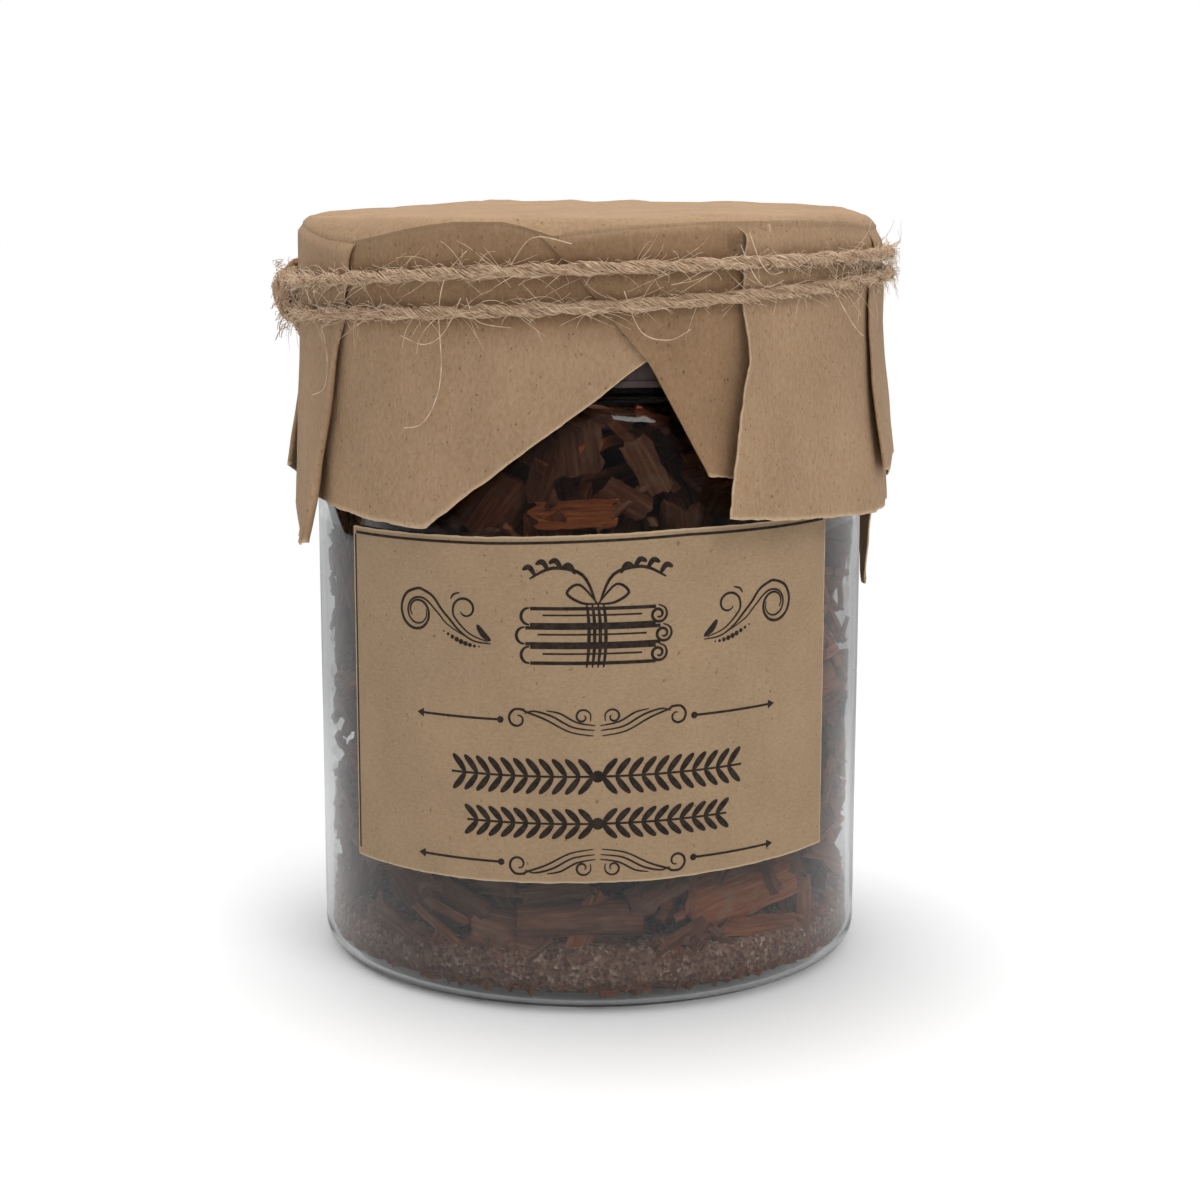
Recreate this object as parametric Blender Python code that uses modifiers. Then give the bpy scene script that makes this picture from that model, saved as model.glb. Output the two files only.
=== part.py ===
"""A clear jar of cinnamon bark pieces, its screw lid covered with tied kraft paper.

The jar stands on its base ring. The origin is at the middle of the base, +Z is up, and the label
faces -Y. Azimuths are in degrees round the jar, 0 at the label's middle and growing towards +X.
Everything is in metres. Each sub-part is one closed object of its own.
"""

import math

import bmesh
import bpy
from mathutils import Vector, noise

MM = 0.001
GAP = 0.3 * MM  # clearance kept between neighbouring solids
ROUND_STEPS = 48  # facets round a turned shape

# Jar: straight clear tub with a short shoulder and a wide neck
JAR_RADIUS = 42.5 * MM
JAR_WALL = 0.9 * MM
JAR_HEIGHT = 111.8 * MM
BASE_CORNER = 3.0 * MM
BASE_RING_INNER = 33.0 * MM
BASE_PUSH_UP = 1.2 * MM
SHOULDER_START = 86.8 * MM
SHOULDER_DROP = 1.9 * MM
NECK_RADIUS = 40.6 * MM
NECK_BEAD = 0.7 * MM
NECK_BEAD_HEIGHT = 89.9 * MM

# Screw lid
LID_RADIUS = 43.4 * MM
LID_BOTTOM = 91.6 * MM
LID_TOP = 114.2 * MM
LID_WALL = 1.5 * MM
LID_PLATE = 2.0 * MM
LID_EDGE = 1.0 * MM

# Cinnamon bark, filled up to just under the neck
BARK_BOTTOM = BASE_PUSH_UP + JAR_WALL + GAP
BARK_TOP = 85.6 * MM
BARK_TOP_UNEVEN = 2.4 * MM
BARK_SIDE_UNEVEN = 0.7 * MM

# Kraft paper cover, drawn over the lid and hanging as a skirt below the twine
PAPER_THICK = 0.5 * MM
PAPER_TOP = LID_TOP + GAP + PAPER_THICK / 2
PAPER_RADIUS = LID_RADIUS + GAP + PAPER_THICK / 2
PAPER_RIM = 1.2 * MM
TOP_SWELL = 0.8 * MM  # how far the gathered folds lift the sheet off the lid's top
SKIRT_STARTS = 98.0 * MM
SKIRT_FLARE = 1.7 * MM  # how far the skirt stands out by SKIRT_FLARE_DEPTH below the twine
SKIRT_FLARE_DEPTH = 28.0 * MM
TOP_ROWS = 4
SIDE_ROWS = 8
EVEN_COLUMNS = 56

# The skirt's lower edge: azimuth, height. It rises to a peak in front and falls to long corners.
HEM = (
    (-180.0, 77.0), (-158.0, 75.0), (-132.0, 71.5), (-118.0, 73.5), (-97.0, 77.0), (-80.0, 76.0),
    (-75.0, 68.0), (-63.7, 66.5), (-59.7, 72.9), (-45.0, 71.6), (-31.6, 71.0), (10.1, 95.3),
    (20.6, 79.4), (23.0, 79.0), (23.6, 73.3), (65.0, 70.7), (72.0, 73.5), (95.0, 74.5),
    (98.0, 68.0), (104.5, 54.5), (110.0, 66.0), (128.0, 74.0), (156.0, 77.5), (180.0, 77.0),
)

# Gathered folds: azimuth, how far each stands out, half its width, height it starts from
FOLDS = (
    (-160.0, 1.8, 9.0, 101.0), (-128.0, 2.1, 8.0, 110.0), (-97.0, 1.1, 8.0, 101.0),
    (-68.0, 1.3, 8.0, 112.0), (-18.0, 0.5, 14.0, 106.0), (27.0, 1.6, 6.0, 112.0),
    (46.0, 0.5, 9.0, 98.0), (78.0, 1.4, 9.0, 106.0), (104.5, 1.6, 8.0, 108.0), (142.0, 2.0, 9.0, 110.0),
)
FOLD_DEPTH = 14.0 * MM  # a fold reaches its full size this far below its start
BAND_FOLD = 0.3 * MM  # the most that the twine lets a fold stand out

# Jute twine, two turns tied at the left side
TWINE_RADIUS = 1.05 * MM
TWINE_TRACK = 45.9 * MM
TWINE_POINTS = 40
UPPER_TURN = (108.4, 108.6, 106.2, 103.5)  # heights at the front, right, back and left
LOWER_TURN = (102.9, 105.9, 102.2, 99.4)
KNOT_AZIMUTH = -90.0
KNOT_HALF_TURN = 5.6  # half the azimuth that the knot takes
KNOT_SIZE = (3.2 * MM, 8.0 * MM, 9.6 * MM)  # outwards, along the twine, upwards
KNOT_HEIGHT = 101.9 * MM
KNOT_OUT = 46.6 * MM

# Kraft label, stuck on slightly askew
LABEL_HALF_TURN = 54.0
LABEL_BOTTOM = 19.9 * MM
LABEL_HEIGHT = 50.8 * MM
LABEL_THICK = 0.3 * MM
LABEL_SLANT = 0.0165  # rise for each metre round the jar
LABEL_COLUMNS = 26


def polar(azimuth, radius, height):
    """The point at this azimuth in degrees, distance from the axis, and height."""
    turn = math.radians(azimuth)
    return Vector((radius * math.sin(turn), -radius * math.cos(turn), height))


def arc(centre_r, centre_z, radius, start, end, count=4):
    """Points of a profile's arc, from the angle start to end in degrees, 0 being outwards."""
    points = []
    for i in range(count + 1):
        turn = math.radians(start + (end - start) * i / count)
        points.append((centre_r + radius * math.cos(turn), centre_z + radius * math.sin(turn)))
    return points


def between(pairs, at):
    """The value at a place on a row of straight pieces through (place, value) pairs."""
    for (low, first), (high, second) in zip(pairs, pairs[1:]):
        if at <= high:
            return first + (second - first) * (at - low) / (high - low)
    return pairs[-1][1]


def bell(distance):
    """A smooth bump: 1 at 0, falling to 0 at 1."""
    return (0.5 + 0.5 * math.cos(math.pi * min(abs(distance), 1.0)))


def material(name, color, roughness, metallic=0.0):
    made = bpy.data.materials.new(name)
    made.use_nodes = True
    shader = made.node_tree.nodes["Principled BSDF"]
    shader.inputs["Base Color"].default_value = (*color, 1.0)
    shader.inputs["Roughness"].default_value = roughness
    shader.inputs["Metallic"].default_value = metallic
    made.diffuse_color = (*color, 1.0)
    return made


def placed(name, data, finish, collection):
    """A new object in the collection, with its material."""
    made = bpy.data.objects.new(name, data)
    made.data.materials.append(finish)
    collection.objects.link(made)
    return made


def turned(name, profile, finish, collection):
    """A solid of revolution. The profile is open, with both ends on the axis, and runs up the
    inside and down the outside."""
    mesh = bpy.data.meshes.new(name)
    edges = [(i, i + 1) for i in range(len(profile) - 1)]
    mesh.from_pydata([(r, 0.0, z) for r, z in profile], edges, [])
    made = placed(name, mesh, finish, collection)
    screw = made.modifiers.new("Turn", "SCREW")
    screw.axis = "Z"
    screw.steps = ROUND_STEPS
    screw.render_steps = ROUND_STEPS
    screw.use_merge_vertices = True
    screw.merge_threshold = 1e-5
    screw.use_smooth_shade = True
    return made


def thickened(made, thickness):
    solid = made.modifiers.new("Thickness", "SOLIDIFY")
    solid.thickness = thickness
    solid.offset = 0.0
    solid.use_even_offset = False


def grid_object(name, columns, rows, place, finish, collection):
    """A grid whose point at (column, row) goes where place says. Points that meet are joined."""
    mesh = bpy.data.meshes.new(name)
    shape = bmesh.new()
    bmesh.ops.create_grid(shape, x_segments=columns, y_segments=rows, size=1.0)
    for vertex in shape.verts:
        column = round((vertex.co.x + 1) / 2 * columns)
        row = round((vertex.co.y + 1) / 2 * rows)
        vertex.co = place(column, row)
    bmesh.ops.remove_doubles(shape, verts=shape.verts, dist=1e-6)
    shape.to_mesh(mesh)
    shape.free()
    mesh.shade_smooth()
    return placed(name, mesh, finish, collection)


def jar(collection, finish):
    inner = JAR_RADIUS - JAR_WALL
    neck_inner = NECK_RADIUS - JAR_WALL
    shoulder_top = SHOULDER_START + SHOULDER_DROP
    floor = BASE_PUSH_UP + JAR_WALL
    corner = BASE_CORNER - JAR_WALL
    profile = [(0.0, floor), (BASE_RING_INNER - 3 * MM, floor), (BASE_RING_INNER + JAR_WALL, JAR_WALL)]
    profile += arc(inner - corner, JAR_WALL + corner, corner, -90, 0)
    profile += [(inner, SHOULDER_START), (neck_inner, shoulder_top), (neck_inner, JAR_HEIGHT)]
    profile += [(NECK_RADIUS, JAR_HEIGHT), (NECK_RADIUS, NECK_BEAD_HEIGHT + NECK_BEAD)]
    profile += [(NECK_RADIUS + NECK_BEAD, NECK_BEAD_HEIGHT), (NECK_RADIUS, NECK_BEAD_HEIGHT - NECK_BEAD)]
    profile += [(NECK_RADIUS, shoulder_top + 0.1 * MM), (JAR_RADIUS - 0.5 * MM, SHOULDER_START + 0.9 * MM)]
    profile += [(JAR_RADIUS, SHOULDER_START)]
    profile += arc(JAR_RADIUS - BASE_CORNER, BASE_CORNER, BASE_CORNER, 0, -90)
    profile += [(BASE_RING_INNER, 0.0), (BASE_RING_INNER - 3 * MM, BASE_PUSH_UP), (0.0, BASE_PUSH_UP)]
    return turned("jar", profile, finish, collection)


def lid(collection, finish):
    inner = LID_RADIUS - LID_WALL
    ceiling = LID_TOP - LID_PLATE
    profile = [(0.0, LID_TOP)]
    profile += arc(LID_RADIUS - LID_EDGE, LID_TOP - LID_EDGE, LID_EDGE, 90, 0)
    profile += [(LID_RADIUS, LID_BOTTOM), (inner, LID_BOTTOM), (inner, ceiling), (0.0, ceiling)]
    return turned("lid", profile, finish, collection)


def bark_heap(collection, finish):
    """The broken bark as one solid out to its uneven side and top."""
    radius = JAR_RADIUS - JAR_WALL - GAP
    corner = 3.2 * MM
    profile = [(0.0, BARK_TOP)]
    profile += [(radius * share, BARK_TOP) for share in (0.2, 0.4, 0.6, 0.8, 0.93)]
    rows = 7
    for row in range(rows + 1):
        profile.append((radius, BARK_TOP - 1.5 * MM - (BARK_TOP - 8.5 * MM) * row / rows))
    profile += arc(radius - corner, BARK_BOTTOM + corner, corner, 0, -90, 2)
    profile += [(0.0, BARK_BOTTOM)]
    made = turned("bark_heap", profile, finish, collection)
    bpy.context.view_layer.update()
    graph = bpy.context.evaluated_depsgraph_get()
    made.data = bpy.data.meshes.new_from_object(made.evaluated_get(graph))
    made.modifiers.clear()
    for vertex in made.data.vertices:
        x, y, z = vertex.co
        out = math.hypot(x, y)
        lump = noise.noise(Vector((x, y, z)) * 110)
        if z > BARK_TOP - 0.1 * MM:
            vertex.co.z += BARK_TOP_UNEVEN * noise.noise(Vector((x, y, 0.0)) * 75)
        elif z > BARK_BOTTOM + corner and out > radius - 0.1 * MM:
            pull = 1 - BARK_SIDE_UNEVEN * (1 + lump) / radius
            vertex.co.x = x * pull
            vertex.co.y = y * pull
    return made


def fold_lift(azimuth, height):
    """How far the gathered folds push the paper out at a place on its side. The twine holds them
    down in its band, and lets go of them over the 8 mm below it."""
    lift = 0.0
    for centre, size, half_width, start in FOLDS:
        away = (azimuth - centre + 180) % 360 - 180
        depth = max(0.0, min((start * MM - height) / FOLD_DEPTH, 1.0))
        lift += size * MM * bell(away / half_width) * depth
    held = max(0.0, min((height - SKIRT_STARTS) / (8 * MM) + 1, 1.0))
    return lift + (min(lift, BAND_FOLD) - lift) * held


def paper_columns():
    """The azimuths of the cover's columns: even ones, and one at each corner of the hem."""
    corners = [azimuth for azimuth, _ in HEM]
    columns = list(corners)
    for i in range(EVEN_COLUMNS):
        azimuth = -180 + 360 * i / EVEN_COLUMNS
        if min(abs(azimuth - corner) for corner in corners) > 2.0:
            columns.append(azimuth)
    return sorted(columns)


def paper_cover(collection, finish):
    """One sheet over the lid: a flat top, a tight rim, a band under the twine and a loose skirt."""
    columns = paper_columns()
    rim_turn = 3

    def place(column, row):
        azimuth = columns[column]
        if column == len(columns) - 1:
            azimuth = columns[0]
        flat = PAPER_RADIUS - PAPER_RIM
        if row <= TOP_ROWS:
            out = flat * row / TOP_ROWS
            swell = TOP_SWELL * math.sin(math.radians(1.5 * azimuth + 20)) ** 2 * row / TOP_ROWS
            return polar(azimuth, out, PAPER_TOP + swell * (row < TOP_ROWS))
        if row <= TOP_ROWS + rim_turn:
            turn = math.radians(90 - 90 * (row - TOP_ROWS) / rim_turn)
            out = flat + PAPER_RIM * math.cos(turn)
            return polar(azimuth, out, PAPER_TOP - PAPER_RIM + PAPER_RIM * math.sin(turn))
        top = PAPER_TOP - PAPER_RIM
        share = (row - TOP_ROWS - rim_turn) / SIDE_ROWS
        hem = between(HEM, azimuth) * MM
        height = top + (hem - top) * share
        loose = max(0.0, (SKIRT_STARTS - height) / SKIRT_FLARE_DEPTH)
        out = PAPER_RADIUS + SKIRT_FLARE * loose ** 0.8 + fold_lift(azimuth, height)
        return polar(azimuth, out, height)

    made = grid_object(
        "paper_cover", len(columns) - 1, TOP_ROWS + rim_turn + SIDE_ROWS, place, finish, collection
    )
    thickened(made, PAPER_THICK)
    return made


def round_heights(heights, azimuth):
    """A smooth closed curve through heights at the front, right, back and left."""
    front, right, back, left = heights
    turn = math.radians(azimuth)
    mean = (front + right + back + left) / 4
    across = (right - left) / 2 * math.sin(turn) + (front - back) / 2 * math.cos(turn)
    twice = (front + back - right - left) / 4 * math.cos(2 * turn)
    return (mean + across + twice) * MM


def twine_turn(name, heights, collection, finish):
    """One turn of twine, from one side of the knot round to the other."""
    curve = bpy.data.curves.new(name, "CURVE")
    curve.dimensions = "3D"
    curve.bevel_depth = TWINE_RADIUS
    curve.bevel_resolution = 2
    curve.use_fill_caps = True
    spline = curve.splines.new("POLY")
    spline.points.add(TWINE_POINTS - 1)
    start = KNOT_AZIMUTH + KNOT_HALF_TURN
    sweep = 360 - 2 * KNOT_HALF_TURN
    for i, point in enumerate(spline.points):
        azimuth = start + sweep * i / (TWINE_POINTS - 1)
        point.co = (*polar(azimuth, TWINE_TRACK, round_heights(heights, azimuth)), 1.0)
    return placed(name, curve, finish, collection)


def knot(collection, finish):
    """The tied knot's outer shape, a rounded lump standing on edge."""
    mesh = bpy.data.meshes.new("knot")
    shape = bmesh.new()
    bmesh.ops.create_uvsphere(shape, u_segments=16, v_segments=10, radius=0.5)
    for vertex in shape.verts:
        vertex.co = Vector(size * value for size, value in zip(KNOT_SIZE, vertex.co))
    shape.to_mesh(mesh)
    shape.free()
    mesh.shade_smooth()
    made = placed("knot", mesh, finish, collection)
    made.location = polar(KNOT_AZIMUTH, KNOT_OUT, KNOT_HEIGHT)
    return made


def label(collection, finish):
    def place(column, row):
        azimuth = LABEL_HALF_TURN * (2 * column / LABEL_COLUMNS - 1)
        slant = LABEL_SLANT * JAR_RADIUS * math.radians(azimuth)
        height = LABEL_BOTTOM + LABEL_HEIGHT * row + slant
        return polar(azimuth, JAR_RADIUS + GAP + LABEL_THICK / 2, height)

    made = grid_object("label", LABEL_COLUMNS, 1, place, finish, collection)
    thickened(made, LABEL_THICK)
    return made


def main():
    for old in list(bpy.data.objects):
        bpy.data.objects.remove(old)
    parts = bpy.data.collections.new("cinnamon_bark_jar")
    bpy.context.scene.collection.children.link(parts)

    clear = material("clear PET", (0.86, 0.85, 0.84), 0.06)
    black = material("glossy plastic", (0.05, 0.045, 0.043), 0.2)
    bark = material("cinnamon bark", (0.09, 0.035, 0.018), 0.7)
    kraft = material("kraft paper", (0.33, 0.21, 0.13), 0.85)
    jute = material("jute twine", (0.35, 0.24, 0.14), 0.95)

    jar(parts, clear)
    bark_heap(parts, bark)
    lid(parts, black)
    paper_cover(parts, kraft)
    twine_turn("twine_upper", UPPER_TURN, parts, jute)
    twine_turn("twine_lower", LOWER_TURN, parts, jute)
    knot(parts, jute)
    label(parts, kraft)


main()
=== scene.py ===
"""The looks of a clear jar of cinnamon bark pieces with a tied kraft paper cover."""

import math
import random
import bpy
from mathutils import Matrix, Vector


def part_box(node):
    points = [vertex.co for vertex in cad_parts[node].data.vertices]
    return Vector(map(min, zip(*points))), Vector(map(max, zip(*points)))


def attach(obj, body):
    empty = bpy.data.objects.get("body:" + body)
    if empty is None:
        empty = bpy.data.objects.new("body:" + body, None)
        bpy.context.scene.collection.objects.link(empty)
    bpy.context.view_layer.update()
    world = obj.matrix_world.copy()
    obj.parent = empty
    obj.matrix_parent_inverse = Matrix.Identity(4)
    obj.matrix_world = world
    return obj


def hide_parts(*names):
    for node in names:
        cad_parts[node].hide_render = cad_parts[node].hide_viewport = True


bl_info = {
    "name": "Cinnamon Bark Jar",
    "version": (1, 0, 0),
    "blender": (4, 5, 0),
    "location": "3D View > Sidebar > Bark Jar",
    "description": "Builds a clear jar of cinnamon bark, its paper-covered lid, twine and label",
    "category": "Object",
}

import bpy
import numpy as np
from bpy.props import IntProperty, PointerProperty
from mathutils import Euler, Matrix, Vector, noise

MM = 0.001
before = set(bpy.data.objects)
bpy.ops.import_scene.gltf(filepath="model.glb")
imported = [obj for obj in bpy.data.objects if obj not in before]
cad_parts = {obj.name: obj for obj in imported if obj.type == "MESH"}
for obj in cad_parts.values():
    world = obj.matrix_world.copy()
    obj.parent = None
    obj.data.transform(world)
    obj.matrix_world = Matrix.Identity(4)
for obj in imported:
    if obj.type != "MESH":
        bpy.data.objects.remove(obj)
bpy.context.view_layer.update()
JAR_LOW, JAR_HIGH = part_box("jar")
LID_LOW, LID_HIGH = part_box("lid")
BARK_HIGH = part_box("bark_heap")[1]
LABEL_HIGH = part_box("label")[1]
COVER_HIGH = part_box("paper_cover")[1]

JAR_RADIUS = (JAR_HIGH[0] - JAR_LOW[0]) / 2
LID_RADIUS = (LID_HIGH[0] - LID_LOW[0]) / 2
JAR_WALL = 0.9 * MM
SMOOTH_UNDER = math.radians(50)
ROUND_SEGMENTS = 160


# ---- colour and material helpers


def linear(hex_colour, alpha=1.0):
    """An sRGB hex colour as linear RGBA."""
    values = [int(hex_colour[i : i + 2], 16) / 255 for i in (1, 3, 5)]
    return (*[v / 12.92 if v <= 0.04045 else ((v + 0.055) / 1.055) ** 2.4 for v in values], alpha)


def grey(value):
    return (value, value, value, 1.0)


def add(tree, kind, settings=None, links=None, stops=()):
    """Adds a node. settings sets its sockets by name or number and its own properties, links joins
    sockets of earlier nodes or plain values to its inputs, and stops are a colour ramp's."""
    made = tree.nodes.new("ShaderNode" + kind)
    for name, value in (settings or {}).items():
        if isinstance(name, int) or name in made.inputs:
            made.inputs[name].default_value = value
        else:
            setattr(made, name, value)
    for name, value in (links or {}).items():
        if isinstance(value, bpy.types.NodeSocket):
            tree.links.new(value, made.inputs[name])
        else:
            made.inputs[name].default_value = value
    for i, (place, colour) in enumerate(stops):
        elements = made.color_ramp.elements
        element = elements[i] if i < len(elements) else elements.new(place)
        element.position, element.color = place, colour
    return made


def new_material(name):
    """A new material, its node tree and its Principled shader."""
    made = bpy.data.materials.new(name)
    made.use_nodes = True
    tree = made.node_tree
    return made, tree, tree.nodes["Principled BSDF"]


def stretched(tree, scale):
    """Object coordinates in millimetres, stretched by a scale along each axis."""
    place = add(tree, "TexCoord").outputs["Object"]
    scales = tuple(value / MM for value in scale)
    return add(tree, "Mapping", {"Scale": scales}, {"Vector": place}).outputs["Vector"]


# ---- mesh helpers


def polar(azimuth, radius, height):
    """The point at an azimuth in degrees (0 at the label, growing to +X), radius and height."""
    turn = math.radians(azimuth)
    return Vector((radius * math.sin(turn), -radius * math.cos(turn), height))


def between(pairs, at):
    """The value at a place on straight runs through (place, value) pairs, in rising places."""
    if at <= pairs[0][0]:
        return pairs[0][1]
    for (low, first), (high, second) in zip(pairs, pairs[1:]):
        if at <= high:
            return first + (second - first) * (at - low) / (high - low)
    return pairs[-1][1]


def smooth(low, high, value):
    """0 at low and before it, 1 at high and past it, and a smooth change between."""
    share = max(0.0, min((value - low) / (high - low), 1.0))
    return share * share * (3 - 2 * share)


def bump(distance):
    """A smooth bump: 1 at 0 and 0 at 1."""
    return 0.5 + 0.5 * math.cos(math.pi * min(abs(distance), 1.0))


def only(piece):
    """Selects this piece alone and makes it active."""
    for other in bpy.context.selected_objects:
        other.select_set(False)
    piece.select_set(True)
    bpy.context.view_layer.objects.active = piece


def grid(name, columns, rows, place):
    """A grid primitive whose point at (column, row) is moved to where place says."""
    bpy.ops.mesh.primitive_grid_add(x_subdivisions=columns, y_subdivisions=rows, size=2)
    piece = bpy.context.active_object
    piece.name = name
    for vertex in piece.data.vertices:
        column = round((vertex.co.x + 1) / 2 * columns)
        row = round((vertex.co.y + 1) / 2 * rows)
        vertex.co = place(column, row)
    return piece


def apply_modifier(piece, kind, **settings):
    """Adds a modifier and applies it."""
    only(piece)
    modifier = piece.modifiers.new(kind, kind)
    for name, value in settings.items():
        setattr(modifier, name, value)
    bpy.ops.object.modifier_apply(modifier=modifier.name)


def face_outwards(piece):
    """Turns the faces of each closed shell of a mesh outwards, and those of an open one the same way."""
    only(piece)
    bpy.ops.object.mode_set(mode="EDIT")
    bpy.ops.mesh.select_all(action="SELECT")
    bpy.ops.mesh.normals_make_consistent(inside=False)
    bpy.ops.object.mode_set(mode="OBJECT")


def joined(name, pieces):
    """Several pieces joined into one."""
    only(pieces[0])
    for piece in pieces:
        piece.select_set(True)
    if len(pieces) > 1:
        bpy.ops.object.join()
    made = bpy.context.active_object
    made.name = name
    return made


def mesh_piece(name, points, faces, attributes=None):
    """A piece from arrays of points and faces, with float attributes for its points."""
    mesh = bpy.data.meshes.new(name)
    mesh.from_pydata([tuple(point) for point in points], [], [tuple(face) for face in faces])
    for title, values in (attributes or {}).items():
        mesh.attributes.new(title, "FLOAT", "POINT").data.foreach_set("value", values)
    piece = bpy.data.objects.new(name, mesh)
    bpy.context.scene.collection.objects.link(piece)
    return piece


def turned(name, segments, stations):
    """A round piece made by extruding a disc through (radius, height) stations, closed at both ends."""
    radius, height = stations[0]
    bpy.ops.mesh.primitive_circle_add(
        vertices=segments, radius=radius, fill_type="NGON", location=(0, 0, height)
    )
    piece = bpy.context.active_object
    piece.name = name
    bpy.ops.object.transform_apply(location=True, rotation=False, scale=False)
    bpy.ops.object.mode_set(mode="EDIT")
    bpy.ops.mesh.select_all(action="SELECT")
    for new_radius, new_height in stations[1:]:
        bpy.ops.mesh.extrude_region_move(TRANSFORM_OT_translate={"value": (0, 0, new_height - height)})
        scale = new_radius / radius
        bpy.ops.transform.resize(value=(scale, scale, 1), center_override=(0, 0, new_height))
        radius, height = new_radius, new_height
    bpy.ops.mesh.select_all(action="SELECT")
    bpy.ops.mesh.normals_make_consistent(inside=False)
    bpy.ops.object.mode_set(mode="OBJECT")
    return piece


def arc_stations(centre_radius, centre_height, radius, start, end, count):
    """Stations round an arc, from the angle start to end in degrees, 0 being outwards."""
    stations = []
    for i in range(count + 1):
        turn = math.radians(start + (end - start) * i / count)
        stations.append(
            (centre_radius + radius * math.cos(turn), centre_height + radius * math.sin(turn))
        )
    return stations


def finish_piece(piece, material, slot, *nodes):
    """Gives a piece its material, smooth shading and its ride, and hides the nodes it stands for. Its slot is
    not used.
    """
    piece.data.materials.clear()
    piece.data.materials.append(material)
    only(piece)
    bpy.ops.object.shade_smooth_by_angle(angle=SMOOTH_UNDER)
    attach(piece, "root")
    if nodes:
        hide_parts(*nodes)


# ---- the clear jar


def jar_stations():
    """The jar's outline in metres, from under the base's middle round to the inside's middle."""
    r, wall, corner = JAR_RADIUS / MM, JAR_WALL / MM, 3.0
    top = JAR_HIGH[2] / MM
    out = [(4.0, 1.2), (20.0, 1.15), (31.0, 0.9), (33.0, 0.35), (34.4, 0.05), (36.0, 0.0), (38.6, 0.0)]
    out += arc_stations(r - corner, corner, corner, -82, 0, 8)
    out += [(r, 8.0), (r, 20.0), (r, 45.0), (r, 70.0), (r, 84.0)]
    shoulder = [(r - 0.1, 86.2), (r - 0.5, 87.4), (r - 1.2, 88.3), (r - 1.8, 88.9), (40.65, 89.4)]
    neck = [(40.75, 89.6), (41.25, 89.8), (41.3, 90.1), (40.75, 90.4), (40.6, 90.7), (40.6, 96.0)]
    out += shoulder + neck + [(40.6, top - 0.4), (40.4, top - 0.05), (40.1, top)]
    inside = [(40.6 - wall, top - 0.3), (40.6 - wall, 90.2), (r - 1.9 - wall, 89.0)]
    inside += [(r - 1.2 - wall, 88.1), (r - 0.45 - wall, 87.0), (r - wall, 85.8), (r - wall, 60.0)]
    inside += [(r - wall, 30.0), (r - wall, 5.0)]
    inside += [(r - wall, corner + 0.4)]
    inside += arc_stations(r - corner, corner, corner - wall, -20, -80, 3)
    inside += [(36.0, 0.95), (33.6, 1.2), (31.0, 1.75), (20.0, 2.0), (4.0, 2.05)]
    return [(a * MM, b * MM) for a, b in out + inside]


def clear_plastic():
    """Blow-moulded PET: clear, glossy and faintly grey, with thicker, brighter corners."""
    made, tree, shader = new_material("blow_moulded_pet")
    shader.inputs["Base Color"].default_value = linear("#F4F6F6")
    shader.inputs["Roughness"].default_value = 0.02
    shader.inputs["IOR"].default_value = 1.5
    shader.inputs["Transmission Weight"].default_value = 1.0
    # The mould's wall is never quite even, which gives the reflections a slow wobble.
    waves = add(
        tree, "TexNoise", {"Scale": 1.0, "Detail": 1.0}, {"Vector": stretched(tree, (0.06, 0.06, 0.02))}
    )
    bump_node = add(
        tree, "Bump", {"Strength": 0.25, "Distance": 0.4 * MM}, {"Height": waves.outputs["Fac"]}
    )
    tree.links.new(bump_node.outputs["Normal"], shader.inputs["Normal"])
    # Lamps shine through, so the bark inside is lit as it is in daylight.
    clear = add(tree, "BsdfTransparent", {"Color": linear("#F2F3F3")})
    path = add(tree, "LightPath")
    both = add(tree, "MixShader")
    tree.links.new(path.outputs["Is Shadow Ray"], both.inputs[0])
    tree.links.new(shader.outputs[0], both.inputs[1])
    tree.links.new(clear.outputs[0], both.inputs[2])
    tree.links.new(both.outputs[0], tree.nodes["Material Output"].inputs["Surface"])
    return made


class JAR_OT_add_shell(bpy.types.Operator):
    """Adds the clear jar, turned with its base ring, round corner, shoulder, bead and neck"""

    bl_idname = "bark_jar.add_shell"
    bl_label = "Clear Jar"

    def execute(self, context):
        shell = turned("jar_shell", ROUND_SEGMENTS, jar_stations())
        finish_piece(shell, clear_plastic(), "jar", "jar")
        return {"FINISHED"}


# ---- the dark screw lid

# The lid's top stands this far under the CAD lid's, in millimetres, so that the paper's dips clear it.
LID_DROP = 0.9


def dark_plastic():
    """Injection-moulded polypropylene, dark grey and glossy, with a fine mould texture."""
    made, tree, shader = new_material("moulded_dark_polypropylene")
    fine = add(
        tree, "TexNoise", {"Scale": 1.0, "Detail": 3.0}, {"Vector": stretched(tree, (0.8, 0.8, 0.3))}
    )
    colour = add(
        tree, "ValToRGB", links={"Fac": fine.outputs["Fac"]},
        stops=[(0.3, linear("#403634")), (0.7, linear("#4D4240"))],
    ).outputs["Color"]
    tree.links.new(colour, shader.inputs["Base Color"])
    shader.inputs["Roughness"].default_value = 0.22
    shader.inputs["IOR"].default_value = 1.49
    grain = add(tree, "TexNoise", {"Scale": 1.0, "Detail": 2.0}, {"Vector": stretched(tree, (3, 3, 3))})
    relief = add(tree, "Bump", {"Strength": 0.15, "Distance": 0.05 * MM}, {"Height": grain.outputs["Fac"]})
    tree.links.new(relief.outputs["Normal"], shader.inputs["Normal"])
    return made


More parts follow.
